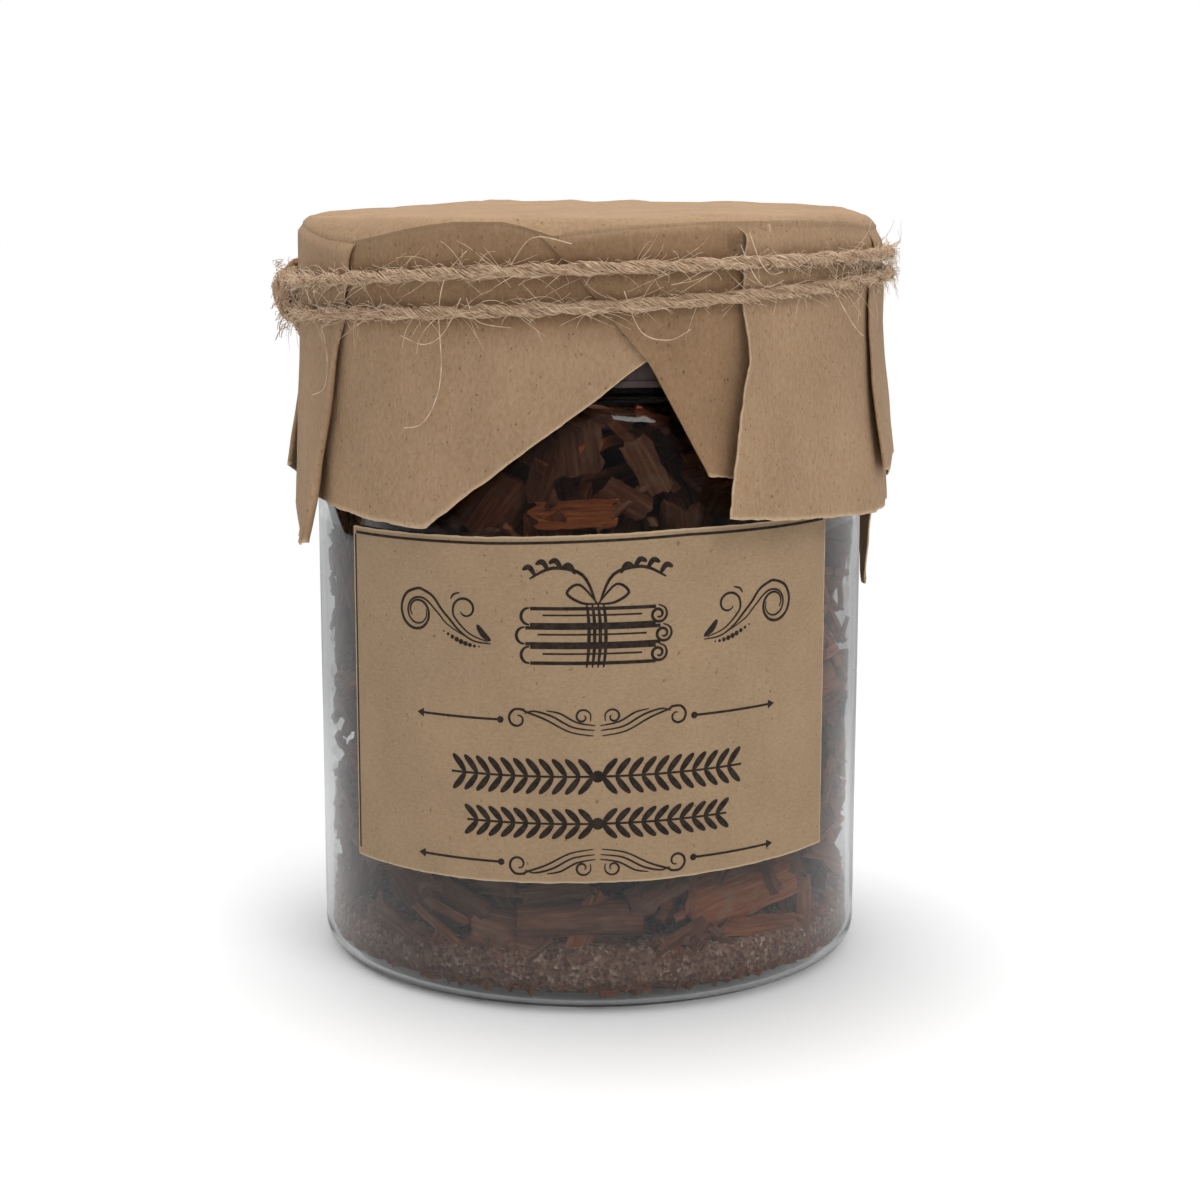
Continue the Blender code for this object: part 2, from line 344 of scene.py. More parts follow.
def lid_stations():
    """The lid's outline in metres, from its top's middle round to the inside's middle."""
    r, low, top = LID_RADIUS / MM, LID_LOW[2] / MM, LID_HIGH[2] / MM - LID_DROP
    out = [(3.0, top), (r - 8, top), (r - 4.2, top - 0.04)]
    out += [
        (r - 3.9 + 3.6 * math.sin(math.radians(a)), top - 3.7 + 3.6 * math.cos(math.radians(a)))
        for a in (15, 30, 45, 60, 75, 90)
    ]
    out += [(r - 0.35, low + 12), (r - 0.35, low + 1.5), (r - 0.3, low + 1.1), (r - 0.02, low + 0.95)]
    out += [(r, low + 0.75), (r, low + 0.15), (r - 0.2, low), (r - 1.3, low), (r - 1.5, low + 0.2)]
    out += [(r - 1.5, top - 5.0), (r - 2.6, top - 2.9), (r - 4.5, top - 2.0), (3.0, top - 2.0)]
    return [(a * MM, b * MM) for a, b in out]


class JAR_OT_add_lid(bpy.types.Operator):
    """Adds the dark screw lid, whose lip shows under the paper cover"""

    bl_idname = "bark_jar.add_lid"
    bl_label = "Screw Lid"

    def execute(self, context):
        lid = turned("screw_lid", ROUND_SEGMENTS, lid_stations())
        finish_piece(lid, dark_plastic(), "lid", "lid")
        return {"FINISHED"}


# ---- the kraft paper cover, in millimetres and degrees until its points are set

PAPER_RADIUS = 44.05
PAPER_TOP = COVER_HIGH[2] / MM - 0.6
PAPER_THICK = 0.24
MM_PER_DEGREE = math.radians(PAPER_RADIUS)
SKIRT_STARTS = 98.0
CUT_MARGIN = 0.35  # how wide a torn edge shows its pale fibres
TWINE_PRESS = 0.32  # how far the twine presses the side in
ARCH_RECESS = 0.45  # how far the side steps in under the arch of the top's folded edge
DENT_DEPTH = 1.2  # the dent beside the pleat at the front right
RIDGE_RISE = 0.55  # a flap's soft standing ridge
# Heights at which the top turns down into the side, round the jar.
RIM_EDGE = [
    (-180, 113.6), (-152, 114.1), (-125, 112.6), (-105, 113.1), (-90, 113.3), (-72, 112.5),
    (-60, 111.5), (-51, 111.2), (-43.6, 112.1), (-37, 113.1), (-30, 114.0), (-25, 114.4),
    (-16, 114.5), (-12.5, 114.0), (-6.5, 112.6), (0.1, 113.3), (9, 114.0), (23, 114.5),
    (42, 114.3), (55, 113.9), (69, 113.0), (90, 112.4), (106, 113.5), (127, 114.0),
    (152, 113.0), (180, 113.6),
]
# Heights of the top where it meets the rim, which the gathers lift and drop.
RIM_TOP = [
    (-180, 114.8), (-152, 115.1), (-125, 113.9), (-90, 114.0), (-70, 114.2), (-50, 114.7), (-35, 115.0),
    (60, 115.0), (80, 114.4), (90, 113.9), (106, 114.6), (127, 115.0), (180, 114.8),
]
# How far the skirt stands out at its hem, round the jar.
FLARE = [
    (-180, 2.0), (-125, 2.1), (-112, 2.4), (-97, 2.4), (-86, 0.7), (-60, 0.8), (-30, 1.2),
    (10, 1.2), (30, 1.3), (60, 1.3), (78, 1.6), (95, 2.6), (105, 2.0), (140, 2.2), (180, 2.0),
]
UPPER_TURN = [(-180, 106.2), (-90, 103.5), (-45, 106.4), (0, 108.4), (45, 108.9), (90, 108.6), (180, 106.2)]
LOWER_TURN = [(-180, 102.2), (-90, 99.4), (-45, 101.2), (0, 102.9), (45, 104.8), (90, 105.9), (180, 102.2)]
# Steps round a folded edge: how far in from the fold and how deep, in roll radii.
ROLL = [(7.0, -2.1), (3.0, -2.05), (1.0, -2.0), (0.29, -1.71), (0.0, -1.0), (0.29, -0.29), (1.0, 0.0)]


def turn_height(turn, azimuth):
    """The height of a turn of twine at an azimuth, eased between its set places."""
    return sum(between(turn, (azimuth + shift + 180) % 360 - 180) for shift in (-18, -9, 0, 9, 18)) / 5


def rim_edge(azimuth):
    return between(RIM_EDGE, (azimuth + 180) % 360 - 180)


def rim_top(azimuth):
    return between(RIM_TOP, (azimuth + 180) % 360 - 180)


def rim_width(azimuth):
    """How far in from the side the top starts to turn down."""
    return 0.8 + 0.75 * (rim_top(azimuth) - rim_edge(azimuth))


def crease(azimuth, height, seed):
    """Soft waves and a few sharper creases of handled paper, in millimetres."""
    arc = azimuth * MM_PER_DEGREE
    slow = noise.noise((arc / 15, height / 26, seed))
    sharp = abs(noise.noise((arc / 8 + height / 30, height / 17, seed + 7.3)))
    fine = noise.noise((arc / 3.4, height / 4.5, seed + 3.1))
    return 0.32 * slow + 0.46 * (0.25 - sharp) + 0.10 * fine


def paper_radius(azimuth, height, seed=0.0):
    """The radius of the paper's lowest layer: its rim, its tied band and its flaring skirt."""
    edge = rim_edge(azimuth)
    if height > edge:
        depth = max(rim_top(azimuth) - height, 0.0) / (rim_top(azimuth) - edge)
        return PAPER_RADIUS - rim_width(azimuth) * (1 - depth ** (1 / 1.8))
    below = max(0.0, SKIRT_STARTS - height) / 28
    radius = PAPER_RADIUS + between(FLARE, (azimuth + 180) % 360 - 180) * min(below, 1.0) ** 1.15
    for turn in (UPPER_TURN, LOWER_TURN):
        radius -= TWINE_PRESS * bump((height - turn_height(turn, azimuth)) / 2.6)
    # Below the arch at the front left the side steps in under the top's folded edge.
    fold = between([(95, 10.7), (99, 6.3), (109, -4.4), (113, -9.5), (115.4, -15.0)], height)
    arch = smooth(-53, -46, azimuth) * (1 - smooth(fold + 2, fold + 5, azimuth))
    radius -= ARCH_RECESS * arch * smooth(0.0, 0.35, edge - height) * smooth(99, 105, height)
    # A small dent beside the pleat at the front right.
    dent = bump((azimuth - 27.6) / 2.4) * bump((height - 110.9) / 2.4)
    calm = smooth(0.0, 3.0, edge - height) * (0.55 + 0.75 * min(below, 1.0))
    return radius - DENT_DEPTH * dent + calm * crease(azimuth, height, seed)


FLAPS = [
    # Each has its left and right edges as (height, azimuth) and its hem as (azimuth, height). Then
    # come its level over the base in the tied band and at the hem's two ends, the radius of the fold
    # at each edge that is rolled, and the spacing of its points.
    dict(left=[(76, -114), (113, -112)], right=[(73, -84), (116, -84)],
         hem=[(-114, 80), (-105, 78.4), (-97, 77), (-88, 74.5), (-84, 74.6)], band=0.35, ends=(0.9, 0.4),
         rolls=([(70, 0.3), (116, 0.15)], None), step=1.1, emerge=1.2),
    dict(left=[(72, -92), (76, -92), (113, -90)],
         right=[
             (66.6, -62.4), (72.9, -59.7), (82.1, -57.9), (91.1, -55.4), (99.2, -53.2), (102.8, -52.7),
             (108.3, -51.1), (111.5, -49.4)
         ],
         hem=[
             (-92, 80), (-84, 76), (-76, 71), (-72, 68.5), (-69, 66.7), (-63.5, 66.0), (-61, 66.9)
         ], band=0.75, ends=(0.2, 2.5),
         rolls=(
             None, [(66, 0.8), (90, 0.55), (98, 0.3), (112, 0.2)]
         ), step=0.7, springs=(0.0, 0.7), emerge=1.4),
    dict(left=[(54.1, 104.1), (75, 99.5), (98, 97), (114, 96)], right=[
        (54.1, 105.1), (75, 110), (98, 114), (114, 113)
    ],
         hem=[(96, 54.1), (114, 54.1)], band=0.3, ends=(0.2, 0.2), rolls=(None, None), step=1.0),
    dict(left=[(72, 87), (114, 86)], right=[(72, 109), (114, 107)],
         hem=[
             (87, 80.5), (92, 76.4), (97, 72.5), (102, 76.5), (109, 82.5)
         ], band=0.6, ends=(1.9, 1.7), rolls=(None, None), step=1.0),
    # This front flap's tone gives it painted shade below the rim.
    dict(left=[
        (79.3, 21.2), (95, 10.7), (99, 6.3), (109, -4.4), (113, -9.5), (115.4, -15.0)
    ], right=[(70, 35), (116, 35)],
         hem=[(10, 79.7), (21.2, 79.3), (24.5, 78.7), (35, 77.8)], band=0.4, ends=(0.8, 0.3),
         rolls=(
             [(78, 0.05), (93.5, 0.05), (96, 0.22), (116, 0.26)], None
         ), step=0.65, springs=(0.45, 0.0), emerge=1.0,
         sinks=((29.0, 9.0, 1.0),), tone=0.85),
    dict(left=[
        (73.2, 24.0), (79.9, 25.4), (87, 27.0), (95.3, 28.9), (98.1, 28.9), (102.3, 28.4), (108.8, 28.8),
        (112.6, 29.4), (115.2, 25.2)
    ],
         right=[(70, 81), (116, 81)], hem=[
             (24, 73.2), (35, 72.3), (50, 71.4), (65.4, 70.6), (74, 70.6), (81, 71.0)
         ],
         band=0.8, ends=(1.9, 0.8), rolls=(None, None), step=0.65, springs=(1.1, 0.0),
         sinks=((46.0, 14.0, 0.4),), ridge=[(72, 38), (97, 29.5)]),
    dict(left=[(77, 67), (90, 65.2), (102, 65.4), (109, 70.6), (114, 68.6)], right=[(77, 101), (114, 99)],
         hem=[(66, 76.9), (75, 76.2), (82, 78), (90, 77), (101, 79)], band=1.25, ends=(2.1, 1.0),
         rolls=([(76, 0.3), (90, 0.25), (116, 0.15)], None), step=0.8, springs=(0.5, 0.0)),
    dict(left=[(70, 105), (114, 103)], right=[(70, 152), (114, 148)],
         hem=[(105, 76.4), (118, 73.2), (134, 71.8), (146, 74.6), (152, 75.0)], band=0.9, ends=(1.5, 0.8),
         rolls=([(70, 0.4), (116, 0.15)], None), step=1.1),
    dict(left=[(70, 140), (90, 143), (114, 147)], right=[(70, 192), (114, 186)],
         hem=[(140, 73.0), (155, 69.6), (171, 67.4), (184, 70.8), (192, 72.0)], band=0.45, ends=(0.6, 0.5),
         rolls=(None, None), step=1.1),
    dict(left=[(70, 178), (92, 181), (114, 184)], right=[(70, 240), (114, 234)],
         hem=[(178, 75.6), (196, 72.6), (212, 71.5), (226, 74.8), (240, 76.5)], band=0.85, ends=(2.0, 0.8),
         rolls=([(70, 0.5), (90, 0.3), (116, 0.15)], None), step=1.1),
    dict(left=[(70, -137), (114, -131)], right=[(70, -96), (92, -97), (114, -101)],
         hem=[
             (-137, 75.0), (-122, 71.0), (-109, 70.2), (-100, 73.8), (-96, 74.6)
         ], band=1.1, ends=(1.2, 2.2),
         rolls=(None, [(70, 0.5), (90, 0.3), (116, 0.15)]), step=1.1),
]
# The lowest layer's hem all round, which shows at the front left and cuts straight across.
BASE_HEM = [
    (-180, 80), (-110, 82), (-84, 78), (-66, 72.9), (-53, 71.7), (-42, 71.2), (-31.6, 71.0),
    (10.1, 95.3), (14, 96), (19, 99), (36, 99), (60, 84), (120, 82), (180, 80),
]


def face_away(piece):
    """Flips the faces of an open sheet where most of them look towards the jar's axis."""
    if sum(p.normal.dot(Vector((p.center.x, p.center.y, 0))) for p in piece.data.polygons) < 0:
        piece.data.flip_normals()


def store(piece, **values):
    """Keeps a number for each of the piece's points under each name, for its material."""
    for name, numbers in values.items():
        attribute = piece.data.attributes.new(name, "FLOAT", "POINT")
        attribute.data.foreach_set("value", numbers)


def ragged(place, seed):
    """How far a cut edge strays along its length, in millimetres."""
    return 0.22 * noise.noise((place / 2.2, seed, 0.3)) + 0.14 * noise.noise((place / 0.6, seed, 5.1))


def flap_rows(start, end, step):
    """Shares down a flap, close together at its hem."""
    count = max(8, round((start - end) / step))
    return [i / count * 0.985 for i in range(count + 1)] + [1.0]


def paper_flap(
    number, left, right, hem, band, ends, rolls, step, springs=(0.0, 0.0), sinks=(), ridge=None, emerge=3.2,
    tone=0.0
):
    """One overlapping flap of the cover, from under the rim to its hem. Its tone sets how much painted shade
    darkens it below the rim.
    """
    low = min(height for _, height in hem)
    rows = flap_rows(PAPER_TOP, low, step * 1.25)
    width = (between(right, 90) - between(left, 90)) * MM_PER_DEGREE
    count = max(6, round(width / step))
    near = CUT_MARGIN / width
    shares = [0, near] + [i / count for i in range(1, count)] + [1 - near, 1]
    columns = [(share, None) for share in shares]
    if rolls[0]:
        columns = [(0.0, turn) for turn in ROLL] + columns[2:]
    if rolls[1]:
        columns = columns[:-2] + [(1.0, turn) for turn in reversed(ROLL)]
    cut, browned = [], []

    def place(column, row):
        share, turn = columns[column]
        azimuth, height = (left[0][1] + right[0][1]) / 2, 90.0
        for _ in range(6):
            start, end = between(left, height), between(right, height)
            azimuth = start + (end - start) * share
            top = rim_edge(azimuth) + 0.6
            height = top + (between(hem, azimuth) - top) * rows[row]
        down = smooth(0.0, emerge, rim_edge(azimuth) - height)
        level = -0.14 + (band + 0.14) * down
        low_here = between(hem, azimuth)
        fall = max(0.0, SKIRT_STARTS + 1 - height) / (SKIRT_STARTS + 1 - low_here)
        aim = ends[0] + (ends[1] - ends[0]) * share + band * 0.4
        level += (aim - band) * min(fall, 1.0) ** 1.3
        # Below the twine, the edges spring away from the layer under them.
        free = 0.15 + 0.85 * smooth(0.8, 6.0, turn_height(LOWER_TURN, azimuth) - height)
        for lift, share_off in zip(springs, (share, 1 - share)):
            level += lift * down * free * math.exp(-((share_off * width / 3.2) ** 2))
        for middle, wide, deep in sinks:
            level -= deep * down * bump((azimuth - middle) / wide) * (0.5 + 0.5 * min(fall * 2, 1.0))
        if ridge:
            level += RIDGE_RISE * bump((azimuth - between(ridge, height)) / 4.0) * smooth(99, 94, height)
        radius = paper_radius(azimuth, height, 0.37 * number) + level
        side = 0 if share < 0.5 else 1
        if turn:
            roll = between(rolls[side], height) * smooth(-0.5, 2.0, rim_edge(azimuth) - height + 0.6)
            azimuth += (1 - 2 * side) * turn[0] * roll / MM_PER_DEGREE
            radius += turn[1] * roll
        elif share in (0, 1):
            azimuth += 1.1 * ragged(height, number + 0.5 * side)
        if row == len(rows) - 1:
            height += ragged(azimuth * MM_PER_DEGREE, number + 2.2)
        edge = row == len(rows) - 1 or (not turn and share in (0, 1))
        cut.append(1.0 if edge else 0.0)
        # Painted shade: a flap with a tone is darkened below its rim.
        browned.append(tone * smooth(0.0, 2.0, rim_edge(azimuth) - height))
        return polar(azimuth, radius, height) * MM

    piece = grid(f"flap_{number}", len(columns) - 1, len(rows) - 1, place)
    store(piece, cut_edge=cut, browned=browned)
    return piece


# Azimuths at which the pleats start on the rim, each with the side that lies on top.
GATHERS = [
    (-131, 1), (-112, -1), (-100, 1), (-76, -1), (-49, -1), (-15, 1), (27, 1), (68.6, 1), (88, -1),
    (103, 1), (147, -1), (166, 1), (184, 1), (205, -1)
]


def gather(azimuth, share):
    """How far the pleats lift the top near its rim, in millimetres: ledges that run inwards."""
    lift = 0.0
    reach = smooth(0.62, 0.95, share)
    for i, (start, side) in enumerate(GATHERS):
        slant = start + (4 if i % 2 else -5) * (1 - share) * 3
        across = ((azimuth - slant + 180) % 360 - 180) * side
        if -1.2 < across < 12:
            lift += 0.34 * smooth(-0.9, 0.9, across) * (1 - smooth(2, 12, across)) * reach
    return lift


def paper_base():
    """The cover's lowest layer: the top over the lid, its rim and the side all round."""
    azimuths = []
    turn = -180.0
    while turn < 180:
        azimuths.append(turn)
        turn += 0.9 if -70 <= turn < 34 else 1.5
    azimuths.append(180.0)
    top_rings = [0.0, 0.12, 0.3, 0.45, 0.57, 0.66, 0.73, 0.79, 0.84, 0.88, 0.915, 0.945, 0.97, 0.985]
    rim_rings = [0.0, 0.12, 0.3, 0.5, 0.7, 0.85, 1.0]
    side = [0.35, 0.9] + [1.6 + 0.95 * i for i in range(48)]
    rings = len(top_rings) + len(rim_rings) + len(side)
    cut, browned = [], []

    def place(column, row):
        azimuth = azimuths[column]
        edge = rim_edge(azimuth)
        width = rim_width(azimuth)
        inner = PAPER_RADIUS - width
        flat = azimuth if -180 < azimuth < 180 else 180.0
        is_cut = 0.0
        if row < len(top_rings):
            share = top_rings[row]
            radius = inner * share
            height = PAPER_TOP + 0.5 * (1 - share**2) + (rim_top(azimuth) - PAPER_TOP) * share**2.5
            spot = polar(azimuth, radius, 0)
            height += 0.16 * noise.noise((spot.x / 13, spot.y / 13, 4.0)) * (1 - share**6)
            # Short gathers run in from the rim.
            height += gather(azimuth, share) * (1 - smooth(0.97, 1.0, share) * 0.4)
            height -= 0.28 * smooth(0.55, 1.0, share) * (1 - smooth(0.97, 1.0, share)) * abs(
                noise.noise((flat / 6.5, share * 1.4, 9.0))
            )
            cut.append(0.0)
            browned.append(0.0)
            return polar(azimuth, radius, height) * MM
        if row < len(top_rings) + len(rim_rings):
            share = rim_rings[row - len(top_rings)]
            cut.append(0.0)
            browned.append(0.0)
            top = rim_top(azimuth)
            return polar(azimuth, inner + width * share, top - (top - edge) * share**1.8) * MM
        step = side[row - len(top_rings) - len(rim_rings)]
        low = between(BASE_HEM, azimuth)
        height = edge - step - (edge - low - side[-1]) * max(0.0, step - 1.6) / (side[-1] - 1.6)
        if row == rings - 1:
            height += ragged(azimuth * MM_PER_DEGREE, 9.0)
            is_cut = 1.0
        cut.append(is_cut)
        # Painted shade: the front of the tied band, from just under the rim down towards the twine, is darkened.
        browned.append(
            0.8 * smooth(96, 102, height) * smooth(0.0, 2.0, edge - height) * bump((azimuth + 12) / 70)
        )
        return polar(azimuth, paper_radius(flat, height, 0.0), height) * MM

    piece = grid("kraft_base", len(azimuths) - 1, rings - 1, place)
    store(piece, cut_edge=cut, browned=browned)
    only(piece)
    bpy.ops.object.mode_set(mode="EDIT")
    bpy.ops.mesh.select_all(action="SELECT")
    bpy.ops.mesh.remove_doubles(threshold=0.01 * MM)
    bpy.ops.object.mode_set(mode="OBJECT")
    return piece


def kraft_paper():
    """Unbleached kraft paper: fibres laid along the roll, dark flecks and pale torn edges, with painted shade on
    the front of the tied band and on one front flap.
    """
    made, tree, shader = new_material("kraft_paper")
    fibres = add(
        tree, "TexNoise", {"Scale": 1.0, "Detail": 6.0, "Roughness": 0.7},
        {"Vector": stretched(tree, (1.9, 1.9, 1.0))}
    )
    clouds = add(
        tree, "TexNoise", {"Scale": 1.0, "Detail": 3.0}, {"Vector": stretched(tree, (0.1, 0.1, 0.07))}
    )
    colour = add(
        tree, "ValToRGB", links={"Fac": fibres.outputs["Fac"]},
        stops=[(0.25, linear("#977859")), (0.5, linear("#A48769")), (0.75, linear("#B09479"))],
    ).outputs["Color"]
    shade = add(
        tree, "ValToRGB", links={"Fac": clouds.outputs["Fac"]},
        stops=[(0.3, grey(0.86)), (0.7, grey(1.0))],
    ).outputs["Color"]
    colour = add(
        tree, "Mix", {"data_type": "RGBA", "blend_type": "MULTIPLY"},
        {0: 1.0, 6: colour, 7: shade},
    ).outputs[2]
    flecks = add(
        tree, "TexNoise", {"Scale": 1.0, "Detail": 1.0, "Roughness": 0.5},
        {"Vector": stretched(tree, (2.4, 2.4, 1.5))}
    )
    spots = add(
        tree, "ValToRGB", links={"Fac": flecks.outputs["Fac"]},
        stops=[(0.695, grey(0.0)), (0.75, grey(0.8))],
    ).outputs["Color"]
    colour = add(
        tree, "Mix", {"data_type": "RGBA", "blend_type": "MIX"},
        {0: spots, 6: colour, 7: linear("#6B5036")},
    ).outputs[2]
    # Painted shade: where the tied band and the front flap lie in shade, the colour is multiplied darker and
    # browner.
    painted_shade_node = add(tree, "Attribute", {"attribute_name": "browned"})
    colour = add(
        tree, "Mix", {"data_type": "RGBA", "blend_type": "MULTIPLY"},
        {0: painted_shade_node.outputs["Fac"], 6: colour, 7: (0.76, 0.7, 0.63, 1.0)},
    ).outputs[2]
    torn = add(tree, "Attribute", {"attribute_name": "cut_edge"})
    wool = add(
        tree, "TexNoise", {"Scale": 1.0, "Detail": 3.0}, {"Vector": stretched(tree, (2.5, 2.5, 2.5))}
    )
    pale = add(tree, "Math", {"operation": "MULTIPLY"}, {0: torn.outputs["Fac"], 1: wool.outputs["Fac"]})
    colour = add(
        tree, "Mix", {"data_type": "RGBA", "blend_type": "MIX"},
        {0: pale.outputs[0], 6: colour, 7: linear("#D9BF9F")},
    ).outputs[2]
    tree.links.new(colour, shader.inputs["Base Color"])
    shader.inputs["Roughness"].default_value = 0.86
    shader.inputs["Specular IOR Level"].default_value = 0.35
    relief = add(
        tree, "TexNoise", {"Scale": 1.0, "Detail": 5.0, "Roughness": 0.6},
        {"Vector": stretched(tree, (1.2, 1.2, 0.6))}
    )
    bumps = add(tree, "Bump", {"Strength": 0.55, "Distance": 0.12 * MM}, {"Height": relief.outputs["Fac"]})
    tree.links.new(bumps.outputs["Normal"], shader.inputs["Normal"])
    return made


class JAR_OT_add_cover(bpy.types.Operator):
    """Adds the kraft paper cover: a top folded over the lid and overlapping flaps round its side"""

    bl_idname = "bark_jar.add_cover"
    bl_label = "Paper Cover"

    def execute(self, context):
        pieces = [paper_base()] + [paper_flap(i + 1, **flap) for i, flap in enumerate(FLAPS)]
        cover = joined("kraft_cover", pieces)
        face_outwards(cover)
        face_away(cover)
        apply_modifier(cover, "SOLIDIFY", thickness=PAPER_THICK * MM, offset=-1)
        finish_piece(cover, kraft_paper(), "kraft_cover", "paper_cover")
        return {"FINISHED"}


# ---- the cinnamon bark


def taken(piece):
    """The points, in millimetres, and quads of a piece, which is then removed."""
    mesh = piece.data
    points = np.empty(len(mesh.vertices) * 3)
    mesh.vertices.foreach_get("co", points)
    quads = np.array([list(p.vertices) for p in mesh.polygons])
    bpy.data.objects.remove(piece)
    bpy.data.meshes.remove(mesh)
    return points.reshape(-1, 3) / MM, quads


def chip_master(number, length, width, curl, thickness, columns=9, rows=6):
    """A broken piece of curled bark as arrays: points in millimetres, quads, map and outside."""

    def place(column, row):
        along, across = column / columns * 2 - 1, row / rows * 2 - 1
        x = along * length / 2 * (1 + 0.22 * noise.noise((across * 2.2, number, along * 0.5)))
        taper = 1 - 0.28 * abs(noise.noise((along * 1.6, number, 3.0)))
        angle = across * width / 2 * taper / curl * (1 + 0.2 * noise.noise((along * 3, across, number)))
        lift = 0.25 * noise.noise((along * 2.5, across * 2.5, number + 5))
        radius = curl + lift
        twist = 0.18 * along * noise.noise((number, 1.0, 2.0)) * 2
        y, z = radius * math.sin(angle + twist), curl - radius * math.cos(angle + twist)
        z += 0.4 * (along**2) * noise.noise((number, 8.0, 4.0)) * length / 8
        return Vector((x, y, z)) * MM

    piece = grid("master", columns, rows, place)
    apply_modifier(piece, "SOLIDIFY", thickness=thickness * MM, offset=0)
    points, quads = taken(piece)
    out = (np.hypot(points[:, 1], points[:, 2] - curl) > curl + 0.1).astype(float)
    return points - points.mean(axis=0), quads, points[:, :2].copy(), out


def quill_master(number, length, radius, turns, thickness):
    """A bark stick rolled up like a scroll."""
    columns, rows = 8, int(14 * turns)

    def place(column, row):
        along, share = column / columns * 2 - 1, row / rows
        angle = share * turns * 2 * math.pi
        r = radius * (0.42 + 0.58 * share) + 0.12 * noise.noise((along * 2, share * 4, number))
        x = along * length / 2 * (1 + 0.12 * noise.noise((share * 5, number, along)))
        return Vector((x, r * math.sin(angle), -r * math.cos(angle))) * MM

    piece = grid("master", columns, rows, place)
    apply_modifier(piece, "SOLIDIFY", thickness=thickness * MM, offset=0)
    points, quads = taken(piece)
    out = (np.hypot(points[:, 1], points[:, 2]) > radius * 0.8).astype(float)
    return points, quads, points[:, :2].copy(), out


INSIDE_RADIUS = (JAR_RADIUS - JAR_WALL) / MM - 0.3
INSIDE_FLOOR = 1.9
BARK_TOP = BARK_HIGH[2] / MM - 2.0


def laid(master, azimuth, radius, height, turn, lean, tip, flip, scale=1.0):
    """A master's points laid at a place by the wall. turn swings it in the wall's plane, lean and
    tip tilt it out of that plane, and flip shows its inside."""
    points = master[0] * scale
    swing = Euler((math.radians(lean), math.radians(tip), math.radians(turn))).to_matrix()
    # The chip's own -Z, its outside, faces outwards unless flipped, and its length lies level.
    way = -1 if flip else 1
    facing = Matrix(((1, 0, 0), (0, 0, way), (0, -way, 0)))
    stand = Matrix.Rotation(math.radians(azimuth), 3, "Z")
    matrix = np.array(stand @ facing @ swing)
    place = np.array(polar(azimuth, radius, height))
    points = points @ matrix.T + place
    reach = np.hypot(points[:, 0], points[:, 1]).max()
    if reach > INSIDE_RADIUS:
        out = place.copy()
        out[2] = 0
        points -= out / np.linalg.norm(out) * (reach - INSIDE_RADIUS + 0.02)
        for _ in range(3):
            reach = np.hypot(points[:, 0], points[:, 1])
            over = reach > INSIDE_RADIUS
            points[over, :2] *= (INSIDE_RADIUS / reach[over])[:, None]
    low = points[:, 2].min()
    if low < INSIDE_FLOOR:
        points[:, 2] += INSIDE_FLOOR - low
    return points


class Heap:
    """Gathers laid pieces of bark into one mesh."""

    def __init__(self, name):
        self.name = name
        self.points, self.faces, self.maps, self.outs, self.tones, self.warms = [], [], [], [], [], []
        self.count = 0

    def lay(self, master, points, tone, warm, shift):
        self.faces.append(master[1] + self.count)
        self.points.append(points)
        self.maps.append(master[2] + shift)
        self.outs.append(master[3])
        self.tones.append(np.full(len(points), tone))
        self.warms.append(np.full(len(points), warm))
        self.count += len(points)

    def build(self):
        points = np.concatenate(self.points) * MM
        faces = np.concatenate(self.faces)
        made = mesh_piece(
            self.name, points, faces,
            {
                "outside": np.concatenate(self.outs), "tone": np.concatenate(self.tones),
                "warmth": np.concatenate(self.warms)
            },
        )
        maps = np.concatenate(self.maps)
        layer = made.data.uv_layers.new(name="grain_mm")
        loops = np.empty(len(made.data.loops), dtype=np.int32)
        made.data.loops.foreach_get("vertex_index", loops)
        layer.data.foreach_set("uv", maps[loops].astype(np.float32).ravel())
        return made


# Pieces that stand out through the wall: azimuth, height, length, width, curl, swing, lean, tip,
# inside showing, tone and warmth.
SHOWN_CHIPS = [
    (-3.0, 73.4, 11.5, 4.2, 16, 2, -8, 0, True, 0.72, 1.0),
    (11.5, 80.2, 9.0, 4.4, 5, 62, 4, 0, False, 0.5, 0.25),
    (-2.5, 83.4, 8.6, 7.6, 14, 80, 0, 6, False, 0.3, 0.3),
    (12.4, 87.0, 4.6, 2.0, 8, 5, 0, 0, True, 0.62, 0.95),
    (7.2, 75.6, 7.0, 4.0, 9, 35, 10, 5, False, 0.35, 0.45),
    (-9.5, 80.0, 10.0, 5.0, 8, 70, -10, -5, True, 0.25, 0.55),
    (4.0, 87.2, 7.0, 3.4, 7, 12, 20, 0, False, 0.28, 0.35),
    (-7.0, 87.0, 8.0, 4.0, 9, -20, 12, 0, True, 0.3, 0.5),
    (35.0, 15.8, 20.0, 8.8, 13, -10, -14, 3, False, 1.0, 0.75),
    (39.5, 9.8, 14.5, 2.8, 5, -6, 10, 0, True, 0.9, 0.7),
    (-28.0, 14.8, 9.0, 5.2, 8, 24, 18, 6, False, 0.35, 0.4),
    (-40.0, 15.5, 10.0, 4.6, 7, -40, -10, 0, True, 0.42, 0.6),
    (-45.5, 9.0, 9.0, 4.2, 6, 16, 10, 0, False, 0.55, 0.4),
    (20.0, 9.3, 8.0, 4.0, 7, 25, 15, 4, True, 0.48, 0.5),
    (14.0, 17.6, 9.0, 4.6, 8, -30, -10, 0, False, 0.3, 0.3),
    (-7.0, 18.0, 10.0, 3.6, 7, 10, 14, 0, True, 0.34, 0.45),
]


